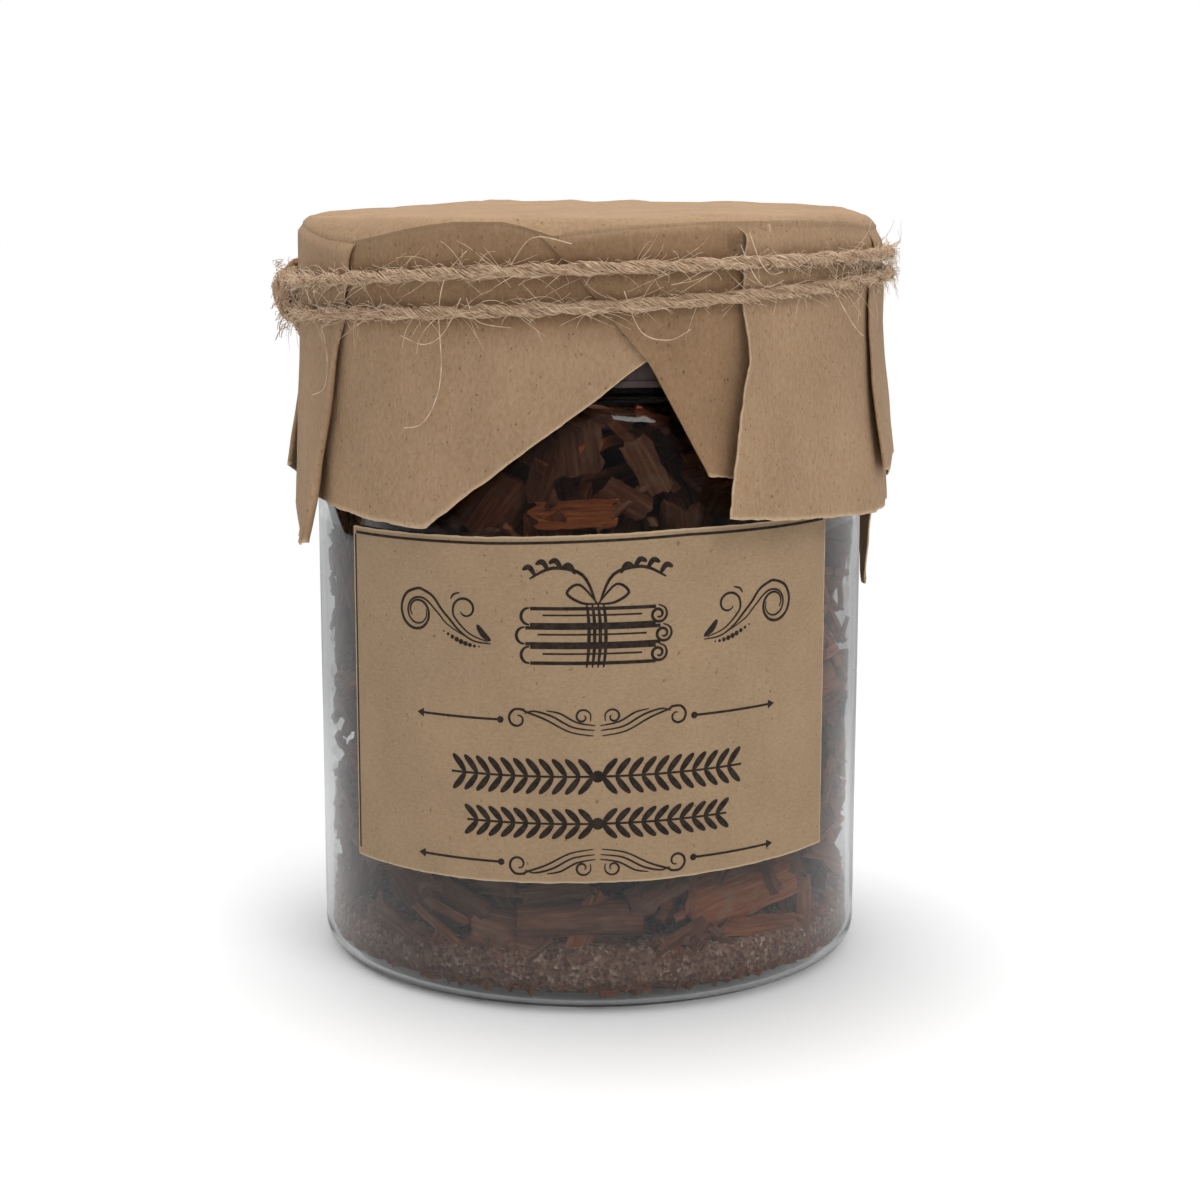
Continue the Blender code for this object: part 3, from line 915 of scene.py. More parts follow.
def bark():
    """Cassia bark, dried and broken: fissured grey-brown outside, smoother red-brown inside and a
    pale fibrous break, in streaks along the grain."""
    made, tree, shader = new_material("dried_cassia_bark")
    place = add(tree, "UVMap", {"uv_map": "grain_mm"}).outputs["UV"]
    along = add(tree, "Mapping", {"Scale": (0.12, 1.6, 1.0)}, {"Vector": place}).outputs["Vector"]
    streaks = add(
        tree, "TexNoise", {"Scale": 1.0, "Detail": 5.0, "Roughness": 0.65, "Distortion": 0.4},
        {"Vector": along}
    ).outputs["Fac"]
    tone = add(tree, "Attribute", {"attribute_name": "tone"}).outputs["Fac"]
    warm = add(tree, "Attribute", {"attribute_name": "warmth"}).outputs["Fac"]
    out = add(tree, "Attribute", {"attribute_name": "outside"}).outputs["Fac"]
    cool = add(
        tree, "ValToRGB", links={"Fac": streaks},
        stops=[(0.25, linear("#452A1B")), (0.5, linear("#754C33")), (0.75, linear("#9A725A"))],
    ).outputs["Color"]
    red = add(
        tree, "ValToRGB", links={"Fac": streaks},
        stops=[(0.25, linear("#552812")), (0.5, linear("#944D27")), (0.8, linear("#BF7747"))],
    ).outputs["Color"]
    colour = add(
        tree, "Mix", {"data_type": "RGBA", "blend_type": "MIX"},
        {0: warm, 6: cool, 7: red},
    ).outputs[2]
    blotch = add(
        tree, "TexNoise", {"Scale": 1.0, "Detail": 4.0}, {"Vector": stretched(tree, (0.35, 0.35, 0.35))}
    ).outputs["Fac"]
    pale = add(
        tree, "ValToRGB", links={"Fac": blotch},
        stops=[(0.5, grey(0.0)), (0.7, grey(1.0))],
    ).outputs["Color"]
    share = add(tree, "Math", {"operation": "MULTIPLY"}, {0: out, 1: pale}).outputs[0]
    part = add(tree, "Math", {"operation": "MULTIPLY", 1: 0.45}, {0: share}).outputs[0]
    colour = add(
        tree, "Mix", {"data_type": "RGBA", "blend_type": "MIX"},
        {0: part, 6: colour, 7: linear("#93765F")},
    ).outputs[2]
    level = add(
        tree, "ValToRGB", links={"Fac": tone},
        stops=[(0.0, grey(0.22)), (0.5, grey(0.76)), (1.0, grey(1.1))],
    ).outputs["Color"]
    colour = add(
        tree, "Mix", {"data_type": "RGBA", "blend_type": "MULTIPLY"},
        {0: 1.0, 6: colour, 7: level},
    ).outputs[2]
    tree.links.new(colour, shader.inputs["Base Color"])
    shader.inputs["Roughness"].default_value = 0.7
    shader.inputs["Specular IOR Level"].default_value = 0.4
    grit = add(
        tree, "TexNoise", {"Scale": 1.0, "Detail": 2.0}, {"Vector": stretched(tree, (0.9, 0.9, 0.9))}
    ).outputs["Fac"]
    height = add(tree, "Math", {"operation": "ADD"}, {0: streaks, 1: grit}).outputs[0]
    relief = add(tree, "Bump", {"Strength": 0.5, "Distance": 0.3 * MM}, {"Height": height})
    tree.links.new(relief.outputs["Normal"], shader.inputs["Normal"])
    return made


def bark_dust():
    """Crumbled bark packed between the chips: fine brown grains with pale specks."""
    made, tree, shader = new_material("crumbled_cassia_bark")
    grains = add(tree, "TexVoronoi", {"Scale": 1.0}, {"Vector": stretched(tree, (1.9, 1.9, 1.9))})
    spread = add(tree, "SeparateColor", links={"Color": grains.outputs["Color"]}).outputs[0]
    colour = add(
        tree, "ValToRGB", links={"Fac": spread},
        stops=[
            (0.0, linear("#5C3D2D")), (0.5, linear("#87624D")), (0.9, linear("#A07E6A")),
            (1.0, linear("#C2AA97"))
        ],
    ).outputs["Color"]
    # Above the crumbs the core is only seen through gaps, where it reads as shade.
    place = add(tree, "SeparateXYZ", links={"Vector": stretched(tree, (1, 1, 1))}).outputs[2]
    high = add(
        tree, "MapRange", {"From Min": 8.0, "From Max": 13.0, "To Min": 1.0, "To Max": 0.10},
        {"Value": place}
    ).outputs[0]
    colour = add(
        tree, "Mix", {"data_type": "RGBA", "blend_type": "MULTIPLY"},
        {0: 1.0, 6: colour, 7: high},
    ).outputs[2]
    tree.links.new(colour, shader.inputs["Base Color"])
    shader.inputs["Roughness"].default_value = 0.8
    relief = add(
        tree, "Bump", {"Strength": 0.8, "Distance": 0.5 * MM}, {"Height": grains.outputs["Distance"]}
    )
    tree.links.new(relief.outputs["Normal"], shader.inputs["Normal"])
    return made


def bark_core():
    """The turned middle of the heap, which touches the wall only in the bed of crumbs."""
    low = 1.95
    stations = [
        (3, 2.2), (20, 2.15), (31, low), (33.8, 1.45), (36.5, 1.15), (38.4, 1.4), (39.9, 2.1), (40.9, 3.4),
        (41.25, 5.0)
    ]
    stations += [(41.25, 7.0), (41.0, 8.4), (38.5, 9.6), (36.0, 10.6), (35, 12.0)]
    stations += [(34.5, 14 + 3.5 * i) for i in range(19)]
    stations += [(34.0, 81.0), (33.0, 82.4), (26, 83.0), (14, 83.2), (3, 83.3)]
    core = turned("bark_core", 150, [(r * MM, z * MM) for r, z in stations])
    apply_modifier(core, "SUBSURF", levels=1, render_levels=1)
    for vertex in core.data.vertices:
        spot = vertex.co / MM
        lump = 0.35 * smooth(4, 8, spot.z) if spot.z < 10 else 1.4
        shift = lump * (
            noise.noise(spot * (0.9 if spot.z < 10 else 0.32)) + 0.25 * noise.noise(spot * 1.9)
        ) - 0.3 * lump
        away = Vector((spot.x, spot.y, 0))
        if away.length > 5 and spot.z > 2.4:
            vertex.co += away.normalized() * shift * MM
            if spot.z > 80:
                vertex.co.z += 1.2 * shift * MM
    return core


class JAR_OT_add_bark(bpy.types.Operator):
    """Adds the cinnamon bark: curled chips, rolled quills, splinters and a bed of crumbs"""

    bl_idname = "bark_jar.add_bark"
    bl_label = "Cinnamon Bark"

    def execute(self, context):
        sizes = context.scene.bark_jar_sizes
        rng = random.Random(11)
        masters = [
            chip_master(
                i, rng.uniform(9, 19), rng.uniform(4.5, 10), rng.uniform(3.6, 13), rng.uniform(0.9, 1.9)
            )
            for i in range(24)
        ]
        plain = [
            chip_master(
                50 + i, rng.uniform(8, 15), rng.uniform(5, 9), rng.uniform(4, 12), rng.uniform(0.9, 1.5), 5,
                4
            )
            for i in range(10)
        ]
        quills = [
            quill_master(80 + i, rng.uniform(13, 22), rng.uniform(2.2, 3.4), rng.uniform(1.0, 1.6), 0.6)
            for i in range(5)
        ]
        slivers = [
            chip_master(100 + i, rng.uniform(5, 13), rng.uniform(0.7, 1.5), 3, rng.uniform(0.4, 0.8), 5, 2)
            for i in range(8)
        ]
        crumbs = [
            chip_master(
                120 + i, rng.uniform(1.3, 3.2), rng.uniform(0.9, 2.0), 2.2, rng.uniform(0.5, 1.2), 3, 2
            )
            for i in range(12)
        ]

        def tone_pair():
            return min(1.0, max(0.08, rng.gauss(0.55, 0.25))), rng.random() ** 0.9

        def shift():
            return np.array([rng.uniform(0, 500), rng.uniform(0, 500)])

        material = bark()
        outer = Heap("bark_chips")
        for azimuth, height, length, width, curl, turn, lean, tip, flip, tone, warm in SHOWN_CHIPS:
            master = chip_master(200 + azimuth, length, width, curl, 1.1, 14, 9)
            outer.lay(
                master, laid(master, azimuth, 40.6, height, turn, lean, tip, flip), tone, warm, shift()
            )
        rows = 12
        for row in range(rows):
            for column in range(sizes.chips_round):
                azimuth = (
                    column + 0.5 * (row % 2) + rng.uniform(-0.4, 0.4)
                ) * 360 / sizes.chips_round - 180
                height = 9.5 + (BARK_TOP - 12) * (row + rng.uniform(-0.35, 0.35) + 0.5) / rows
                if any(abs(azimuth - shown[0]) < 7 and abs(height - shown[1]) < 4 for shown in SHOWN_CHIPS):
                    continue
                master = rng.choice(masters)
                points = laid(
                    master, azimuth, rng.uniform(37.2, 39.6), height, rng.uniform(-90, 90),
                    rng.gauss(0, 24), rng.gauss(0, 18), rng.random() < 0.45, rng.uniform(0.85, 1.1),
                )
                outer.lay(master, points, *tone_pair(), shift())
        finish_piece(outer.build(), material, "bark", "bark_heap")

        inner = Heap("bark_chips_inner")
        for row in range(13):
            for column in range(22):
                azimuth = (column + 0.5 * (row % 2) + rng.uniform(-0.4, 0.4)) * 360 / 22
                height = 11 + (BARK_TOP - 13) * (row + rng.uniform(-0.3, 0.3) + 0.5) / 13
                master = rng.choice(plain)
                points = laid(
                    master, azimuth, rng.uniform(34.4, 36.4), height, rng.uniform(-90, 90),
                    rng.gauss(0, 28), rng.gauss(0, 20), rng.random() < 0.5,
                )
                tone, warm = tone_pair()
                # Painted shade: the chips deeper in the heap are darkened to 0.7 of their tone.
                inner.lay(master, points, tone * 0.7, warm, shift())
        # The top of the heap, chips lying every way.
        for ring, count in ((5, 3), (12, 8), (19, 13), (26, 18), (32.5, 22), (37.5, 26)):
            for column in range(count):
                azimuth = (column + rng.uniform(-0.4, 0.4)) * 360 / count
                master = rng.choice(masters)
                points = laid(
                    master, azimuth, ring, BARK_TOP - 1.6 + rng.uniform(-1.2, 1.2), rng.uniform(-180, 180),
                    90 + rng.gauss(0, 16), rng.gauss(0, 16), rng.random() < 0.5,
                )
                points[:, 2] = np.minimum(points[:, 2], 88.6)
                inner.lay(master, points, *tone_pair(), shift())
        finish_piece(inner.build(), material, "bark")

        sticks = Heap("bark_quills")
        front = quill_master(90, 18.5, 3.3, 1.35, 0.7)
        sticks.lay(front, laid(front, -2.0, 38.2, 13.4, -3, 0, 0, False), 0.55, 0.35, shift())
        upright = quill_master(91, 13.0, 1.7, 1.2, 0.5)
        sticks.lay(upright, laid(upright, 53.5, 39.6, 8.6, 88, 0, 0, False), 0.6, 0.6, shift())
        for i in range(16):
            master = quills[i % 5]
            azimuth = 62 + i * 15.7 + rng.uniform(-5, 5)
            points = laid(
                master, azimuth, 37.6, rng.uniform(14, 80), rng.uniform(-90, 90), 0, rng.gauss(0, 8), False
            )
            sticks.lay(master, points, *tone_pair(), shift())
        finish_piece(sticks.build(), material, "bark")

        thin = Heap("bark_splinters")
        long_one = chip_master(150, 15.5, 1.3, 4, 0.6, 14, 3)
        thin.lay(long_one, laid(long_one, -29.8, 41.0, 8.9, 33, 0, 0, False), 0.85, 0.7, shift())
        for i in range(150):
            master = rng.choice(slivers)
            points = laid(
                master, rng.uniform(-180, 180), rng.uniform(39.6, 41), rng.uniform(
                    4, BARK_TOP
                ), rng.gauss(0, 40),
                rng.uniform(-40, 40), 0, False,
            )
            thin.lay(master, points, rng.uniform(0.5, 1.0), rng.random(), shift())
        finish_piece(thin.build(), material, "bark")

        bed = Heap("bark_crumbs")
        for i in range(sizes.crumbs):
            low = rng.random() < 0.86
            height = 2.0 + 7.5 * rng.random() ** 0.9 if low else rng.uniform(9, BARK_TOP)
            master = rng.choice(crumbs)
            azimuth = rng.uniform(-180, 180)
            # The long splinter, the lying quill and the curved piece show clear of the crumbs.
            over_splinter = abs(height - 8.9 + (azimuth + 29.8) * 0.48) < 1.8 and abs(azimuth + 29.8) < 11
            over_chip = height > 7.5 and (abs(azimuth + 2) < 14 or abs(azimuth - 38) < 14)
            if over_splinter or over_chip:
                continue
            points = laid(
                master, azimuth, rng.uniform(40.0, 41.2) if height > 5 else 40.3, height,
                rng.uniform(
                    -90, 90
                ), rng.uniform(-60, 60), rng.uniform(-40, 40), rng.random() < 0.5, rng.uniform(
                    0.7, 1.1
                ),
            )
            bed.lay(master, points, min(1.0, max(0.3, rng.gauss(0.75, 0.2))), rng.random() * 0.6, shift())
        finish_piece(bed.build(), material, "bark")
        finish_piece(bark_core(), bark_dust(), "bark")
        return {"FINISHED"}


# ---- the jute twine

FUZZ_REACH = 47.8  # the furthest that loose fibres stand from the jar's axis
KNOT_REACH = 49.0
FUZZ_RADIUS, KNOT_FUZZ_RADIUS, LONG_FIBRE_RADIUS = 0.042, 0.05, 0.075


def flap_level(azimuth, height):
    """How far the topmost flap stands over the cover's lowest layer."""
    level = 0.0
    for flap in FLAPS:
        for turn in (azimuth - 360, azimuth, azimuth + 360):
            if between(flap["left"], height) < turn < between(flap["right"], height):
                level = max(level, flap["band"])
    return level


def twine_track(turn, azimuth):
    """The middle of a turn of twine, laid tight over the paper and bridging its steps."""
    height = turn_height(turn, azimuth)
    level = sum(flap_level(azimuth + s, height) for s in (-7, -3.5, 0, 3.5, 7)) / 5
    level = max(level, flap_level(azimuth, height) - 0.15)
    return polar(azimuth, PAPER_RADIUS - 0.25 + level + 0.95, height)


def tubes(name, routes, sides):
    """Closed tubes along routes of (point, radius), joined in one mesh, with how far along each
    point is. A route that ends where it starts is closed on itself."""
    points, faces, runs = [], [], []
    for route in routes:
        ring_count = len(route)
        loop = (route[0][0] - route[-1][0]).length < 1e-6
        if loop:
            ring_count -= 1
        base = len(points)
        across = None
        travelled = 0.0
        for i in range(ring_count):
            before = route[(i - 1) % ring_count][0] if loop or i else route[0][0]
            after = route[(i + 1) % ring_count][0] if loop or i < ring_count - 1 else route[-1][0]
            ahead = (after - before).normalized()
            if across is None:
                across = ahead.orthogonal().normalized()
            across = (across - ahead * across.dot(ahead)).normalized()
            side = ahead.cross(across)
            here, radius = route[i]
            if i:
                travelled += (here - route[i - 1][0]).length
            for k in range(sides):
                turn = 2 * math.pi * k / sides
                points.append(here + (across * math.cos(turn) + side * math.sin(turn)) * radius)
                runs.append(travelled)
        last = ring_count if loop else ring_count - 1
        for i in range(last):
            first, second = base + i * sides, base + (i + 1) % ring_count * sides
            for k in range(sides):
                faces.append((first + k, first + (k + 1) % sides, second + (k + 1) % sides, second + k))
        if not loop:
            faces.append(tuple(reversed(range(base, base + sides))))
            faces.append(tuple(range(base + (ring_count - 1) * sides, base + ring_count * sides)))
    return mesh_piece(name, [p * MM for p in points], faces, {"run": runs})


def strand_routes(
    middle, closed, plies=2, ply_pitch=15.0, ply_radius=0.38, strand_radius=0.48, strands=7, thick=0.21,
    seed=1
):
    """Routes of a twine's strands round its middle line, a list of points in millimetres."""
    rng = random.Random(seed)
    count = len(middle) - 1 if closed else len(middle)
    length, spans = 0.0, [0.0]
    for i in range(1, len(middle)):
        length += (middle[i] - middle[i - 1]).length
        spans.append(length)
    twists = round(length / ply_pitch) or 1
    counter = round(length / 8.5) or 1
    frames = []
    across = None
    for i in range(len(middle)):
        before = middle[(i - 1) % count] if closed else middle[max(i - 1, 0)]
        after = middle[(i + 1) % count] if closed else middle[min(i + 1, len(middle) - 1)]
        ahead = (after - before).normalized()
        if across is None or closed:
            up = Vector((0, 0, 1))
            across = (
                up - ahead * up.dot(ahead)
            ).normalized() if abs(ahead.z) < 0.9 else ahead.orthogonal().normalized()
        across = (across - ahead * across.dot(ahead)).normalized()
        frames.append((across, ahead.cross(across)))
    routes = []
    for ply in range(plies):
        for strand in range(strands):
            wobble = rng.uniform(0, 100)
            route = []
            for i, here in enumerate(middle):
                share = spans[i] / length
                turn = 2 * math.pi * (twists * share + ply / plies)
                side, up = frames[i]
                out = side * math.cos(turn) + up * math.sin(turn)
                cross = up * math.cos(turn) - side * math.sin(turn)
                spin = 2 * math.pi * (counter * share + strand / strands)
                where = i if i < count else 0
                loose = 1 + 0.5 * noise.noise((where * 0.05, wobble, 0.0))
                spot = here + out * ply_radius + (
                    out * math.cos(spin) + cross * math.sin(spin)
                ) * strand_radius * loose
                route.append((spot, thick * (1 + 0.35 * noise.noise((where * 0.12, wobble, 9.0)))))
            if closed:
                route[-1] = route[0]
            routes.append(route)
    return routes


def curve_through(points, steps):
    """A smooth line through points, with steps between each two."""
    line = []
    for i in range(len(points) - 1):
        a, b = points[max(i - 1, 0)], points[i]
        c, d = points[i + 1], points[min(i + 2, len(points) - 1)]
        for k in range(steps):
            t = k / steps
            line.append(
                0.5 * (2 * b + (c - a) * t + (2 * a - 5 * b + 4 * c - d) * t**2 + (3 * b - a - 3 * c + d) * t**3)
            )
    line.append(points[-1])
    return line


def jute():
    """Two-ply jute twine: pale golden bast fibres, matt with a slight dry sheen."""
    made, tree, shader = new_material("two_ply_jute")
    run = add(tree, "Attribute", {"attribute_name": "run"}).outputs["Fac"]
    along = add(tree, "CombineXYZ", links={"X": run}).outputs[0]
    mottle = add(tree, "TexNoise", {"Scale": 0.35, "Detail": 4.0}, {"Vector": along}).outputs["Fac"]
    spot = add(
        tree, "TexNoise", {"Scale": 1.0, "Detail": 3.0}, {"Vector": stretched(tree, (1.2, 1.2, 1.2))}
    ).outputs["Fac"]
    both = add(tree, "Math", {"operation": "ADD"}, {0: mottle, 1: spot}).outputs[0]
    half = add(tree, "Math", {"operation": "MULTIPLY", 1: 0.5}, {0: both}).outputs[0]
    colour = add(
        tree, "ValToRGB", links={"Fac": half},
        stops=[(0.3, linear("#8E735A")), (0.5, linear("#B2967B")), (0.7, linear("#CCB498"))],
    ).outputs["Color"]
    tree.links.new(colour, shader.inputs["Base Color"])
    shader.inputs["Roughness"].default_value = 0.8
    shader.inputs["Specular IOR Level"].default_value = 0.3
    return made


def bast_fibre():
    """Single jute fibres, paler and glossier than the twisted twine."""
    made, tree, shader = new_material("loose_bast_fibre")
    spot = add(
        tree, "TexNoise", {"Scale": 1.0, "Detail": 2.0}, {"Vector": stretched(tree, (0.6, 0.6, 0.6))}
    ).outputs["Fac"]
    colour = add(
        tree, "ValToRGB", links={"Fac": spot},
        stops=[(0.35, linear("#B1957B")), (0.65, linear("#DAC5AA"))],
    ).outputs["Color"]
    tree.links.new(colour, shader.inputs["Base Color"])
    shader.inputs["Roughness"].default_value = 0.55
    return made


# Long loose fibres at the front, as (azimuth, height, stand-off) along each.
LONG_FIBRES = [
    [
        (-22.3, 110.5, 1.6), (-26.2, 107.2, 2.2), (-27.7, 102.4, 2.4), (-27.3, 94.4, 1.2),
        (-28.4, 89.7, 1.0), (-31.2, 86.2, 1.4), (-34.9, 85.4, 1.8)
    ],
    [(-23.4, 104.0, 2.0), (-26.6, 99.2, 1.6), (-31.2, 97.3, 1.0), (-36.2, 98.4, 1.4)],
    [(-22.3, 104.0, 2.0), (-20.2, 100.8, 1.6), (-14.0, 100.0, 1.2)],
    [(28.8, 113.0, 1.6), (30.8, 109.0, 2.6), (33.0, 107.2, 2.4), (36.3, 107.4, 1.6)],
    [(28.2, 111.2, 1.4), (29.6, 107.0, 2.4), (32.5, 105.4, 2.2), (36.6, 106.2, 1.4)],
    [(6, 105.2, 1.3), (9, 99.6, 1.2), (14, 98.4, 1.5), (18, 99.8, 1.1)],
    [(-14, 108.8, 1.2), (-10, 112.4, 1.0), (-3, 111.6, 1.0)],
    [(50, 104.4, 1.3), (56, 99.2, 1.7), (61, 97.2, 1.2)],
    [(-60, 99.8, 1.5), (-56, 95.0, 1.6), (-57.5, 90.0, 1.2), (-62, 88.4, 1.6)],
]


class JAR_OT_add_twine(bpy.types.Operator):
    """Adds the two turns of jute twine, their loose fibres and the knot"""

    bl_idname = "bark_jar.add_twine"
    bl_label = "Jute Twine"

    def execute(self, context):
        sizes = context.scene.bark_jar_sizes
        material = jute()
        routes = []
        for i, turn in enumerate((UPPER_TURN, LOWER_TURN)):
            steps = 560
            middle = [twine_track(turn, 360 * k / steps - 180) for k in range(steps)]
            middle.append(middle[0].copy())
            routes += strand_routes(middle, True, seed=3 + i)
        finish_piece(tubes("twine", routes, 4), material, "twine", "twine_upper", "twine_lower")

        rng = random.Random(23)
        fuzz = []
        for i in range(sizes.loose_fibres):
            turn = (UPPER_TURN, LOWER_TURN)[i % 2]
            # The ends of the front, near the knot and opposite it, are the most frayed.
            azimuth = rng.uniform(
                -180, 180
            ) if rng.random() < 0.7 else rng.choice((-62, 66)) + rng.gauss(0, 17)
            start = twine_track(turn, azimuth)
            out = Vector((start.x, start.y, 0)).normalized()
            along = Vector((-out.y, out.x, 0))
            up = Vector((0, 0, 1))
            tilt = rng.uniform(-1.4, 1.6)
            off = out * math.cos(tilt) + up * math.sin(tilt)
            start = start + off * 0.8
            reach = rng.uniform(0.8, 2.4) if rng.random() < 0.75 else rng.uniform(2.4, 6.5)
            lean = rng.choice((-1, 1)) * rng.uniform(0.3, 1.5)
            step = (off * rng.uniform(0.2, 0.9) + along * lean).normalized()
            bend = Vector((rng.uniform(-1, 1), rng.uniform(-1, 1), rng.uniform(-1.4, 0.7))) * 0.4
            spots = [
                start, start + step * reach * 0.4, start + step * reach * 0.75 + bend * reach * 0.3,
                start + step * reach + bend * reach * 0.75
            ]
            for spot in spots:
                away = math.hypot(spot.x, spot.y)
                least = PAPER_RADIUS + 0.9
                if away < least and spot.z < 113:
                    spot.x, spot.y = spot.x * least / away, spot.y * least / away
                if away > FUZZ_REACH:
                    spot.x, spot.y = spot.x * FUZZ_REACH / away, spot.y * FUZZ_REACH / away
            line = curve_through(spots, 2)
            fuzz.append([(spot, FUZZ_RADIUS * (1 - 0.5 * k / len(line))) for k, spot in enumerate(line)])
        for fibre in LONG_FIBRES:
            spots = []
            for azimuth, height, stand in fibre:
                radius = paper_radius(azimuth, height) + flap_level(azimuth, height) + 0.3 + stand * 0.6
                spots.append(polar(azimuth, radius, height))
            fuzz.append([(spot, LONG_FIBRE_RADIUS) for spot in curve_through(spots, 7)])
        finish_piece(tubes("twine_fuzz", fuzz, 3), bast_fibre(), "twine")

        # The knot at the left: the two turns pass through a small bow of loops with short tails.
        def at(arc, height, stand):
            return polar(-90 + arc / MM_PER_DEGREE, PAPER_RADIUS + 1.6 + stand, height)

        lines = [
            [
                at(5.5, 104.2, -0.2), at(2.5, 105.2, 1.0), at(-1.5, 104.4, 1.7), at(-3.6, 101.8, 1.4),
                at(-1.8, 99.2, 1.2), at(1.8, 99.4, 1.6), at(3.0, 101.8, 1.9), at(0.8, 103.8, 2.2),
                at(-2.4, 103.4, 1.9), at(-6.5, 104.4, 0.2)
            ],
            [
                at(6.0, 99.0, -0.2), at(2.6, 98.8, 0.9), at(-0.6, 100.4, 2.3), at(-0.2, 103.0, 2.7),
                at(2.2, 104.8, 1.9), at(4.2, 103.2, 1.2), at(2.2, 100.6, 1.8), at(-2.2, 99.8, 1.5),
                at(-6.0, 98.8, -0.1)
            ],
            [at(3.0, 104.2, -0.8), at(3.4, 102.6, -0.7), at(3.5, 101.2, -0.7), at(3.0, 99.6, -0.8)],
            [at(4.6, 101.4, 0.4), at(1.2, 102.2, 0.9), at(-1.6, 101.6, 0.9), at(-5.0, 102.2, 0.2)],
            [at(2.0, 98.9, 0.6), at(0.2, 101.4, 1.5), at(-0.6, 103.6, 1.3), at(-3.0, 105.2, 0.5)],
            [at(0.4, 102.6, 1.9), at(-2.6, 105.0, 1.3), at(-7.0, 106.2, 0.7), at(-11.5, 104.6, 1.2)],
            [at(-0.8, 101.2, 1.9), at(-4.0, 98.0, 1.4), at(-8.6, 95.6, 0.9), at(-12.4, 92.2, 1.5)],
        ]
        routes = []
        for i, line in enumerate(lines):
            routes += strand_routes(curve_through(line, 7), False, seed=40 + i)
        for i in range(110):
            start = at(rng.uniform(-4, 4), rng.uniform(96, 107), rng.uniform(0.8, 2.6))
            way = Vector((-rng.uniform(0, 1), rng.uniform(-1, 1), rng.uniform(-1, 1))).normalized()
            reach = rng.uniform(1.0, 3.2)
            spots = [start, start + way * reach * 0.5, start + way * reach + Vector((0, 0, -0.3 * reach))]
            for spot in spots:
                spot.x = max(spot.x, -KNOT_REACH)
            routes.append([(spot, KNOT_FUZZ_RADIUS) for spot in curve_through(spots, 2)])
        finish_piece(tubes("knot", routes, 4), material, "twine", "knot")
        return {"FINISHED"}


# ---- the label

LABEL_HALF = 54.0
LABEL_RADIUS = LABEL_HIGH[0] / MM / math.sin(math.radians(LABEL_HALF))
LABEL_ARC = math.radians(LABEL_RADIUS)
LABEL_TOP = [(-54, 69.5), (-20, 70.2), (0, 70.9), (19, 71.5), (54, 71.5)]
LABEL_BOTTOM = [
    (-54, 19.2), (-33, 19.3), (-20, 19.5), (-4, 19.9), (13, 20.1), (25, 20.5), (40, 20.8), (54, 21.0)
]
PRINT_CENTRE = 1.2
LABEL_SLANT = 0.0165  # how much the label's right side stands higher, for each millimetre


def label_paper():
    """Uncoated kraft label stock: smoother than the cover, with small dark fibres."""
    made, tree, shader = new_material("kraft_label_stock")
    fibres = add(
        tree, "TexNoise", {"Scale": 1.0, "Detail": 5.0, "Roughness": 0.6},
        {"Vector": stretched(tree, (1.6, 1.6, 2.6))}
    )
    colour = add(
        tree, "ValToRGB", links={"Fac": fibres.outputs["Fac"]},
        stops=[(0.3, linear("#977E62")), (0.5, linear("#9E8568")), (0.72, linear("#A68D71"))],
    ).outputs["Color"]
    clouds = add(
        tree, "TexNoise", {"Scale": 1.0, "Detail": 3.0}, {"Vector": stretched(tree, (0.12, 0.12, 0.1))}
    )
    shade = add(
        tree, "ValToRGB", links={"Fac": clouds.outputs["Fac"]},
        stops=[(0.3, grey(0.9)), (0.7, grey(1.0))],
    ).outputs["Color"]
    colour = add(
        tree, "Mix", {"data_type": "RGBA", "blend_type": "MULTIPLY"},
        {0: 1.0, 6: colour, 7: shade},
    ).outputs[2]
    flecks = add(
        tree, "TexNoise", {"Scale": 1.0, "Detail": 2.0}, {"Vector": stretched(tree, (1.4, 1.4, 1.0))}
    )
    spots = add(
        tree, "ValToRGB", links={"Fac": flecks.outputs["Fac"]},
        stops=[(0.69, grey(0.0)), (0.74, grey(0.8))],
    ).outputs["Color"]
    colour = add(
        tree, "Mix", {"data_type": "RGBA", "blend_type": "MIX"},
        {0: spots, 6: colour, 7: linear("#7A5E42")},
    ).outputs[2]
    torn = add(tree, "Attribute", {"attribute_name": "cut_edge"}).outputs["Fac"]
    half = add(tree, "Math", {"operation": "MULTIPLY", 1: 0.6}, {0: torn}).outputs[0]
    colour = add(
        tree, "Mix", {"data_type": "RGBA", "blend_type": "MIX"},
        {0: half, 6: colour, 7: linear("#D2BB9C")},
    ).outputs[2]
    tree.links.new(colour, shader.inputs["Base Color"])
    shader.inputs["Roughness"].default_value = 0.82
    shader.inputs["Specular IOR Level"].default_value = 0.35
    relief = add(tree, "TexNoise", {"Scale": 1.0, "Detail": 4.0}, {"Vector": stretched(tree, (2, 2, 2))})
    bumps = add(tree, "Bump", {"Strength": 0.35, "Distance": 0.06 * MM}, {"Height": relief.outputs["Fac"]})
    tree.links.new(bumps.outputs["Normal"], shader.inputs["Normal"])
    return made


def dark_ink():
    """Matt flexographic ink soaked into the paper: brown-black, a little uneven."""
    made, tree, shader = new_material("flexo_ink")
    patches = add(
        tree, "TexNoise", {"Scale": 1.0, "Detail": 4.0}, {"Vector": stretched(tree, (1.5, 1.5, 1.5))}
    )
    colour = add(
        tree, "ValToRGB", links={"Fac": patches.outputs["Fac"]},
        stops=[(0.35, linear("#241C17")), (0.7, linear("#3A2E26"))],
    ).outputs["Color"]
    tree.links.new(colour, shader.inputs["Base Color"])
    shader.inputs["Roughness"].default_value = 0.7
    shader.inputs["Specular IOR Level"].default_value = 0.3
    return made


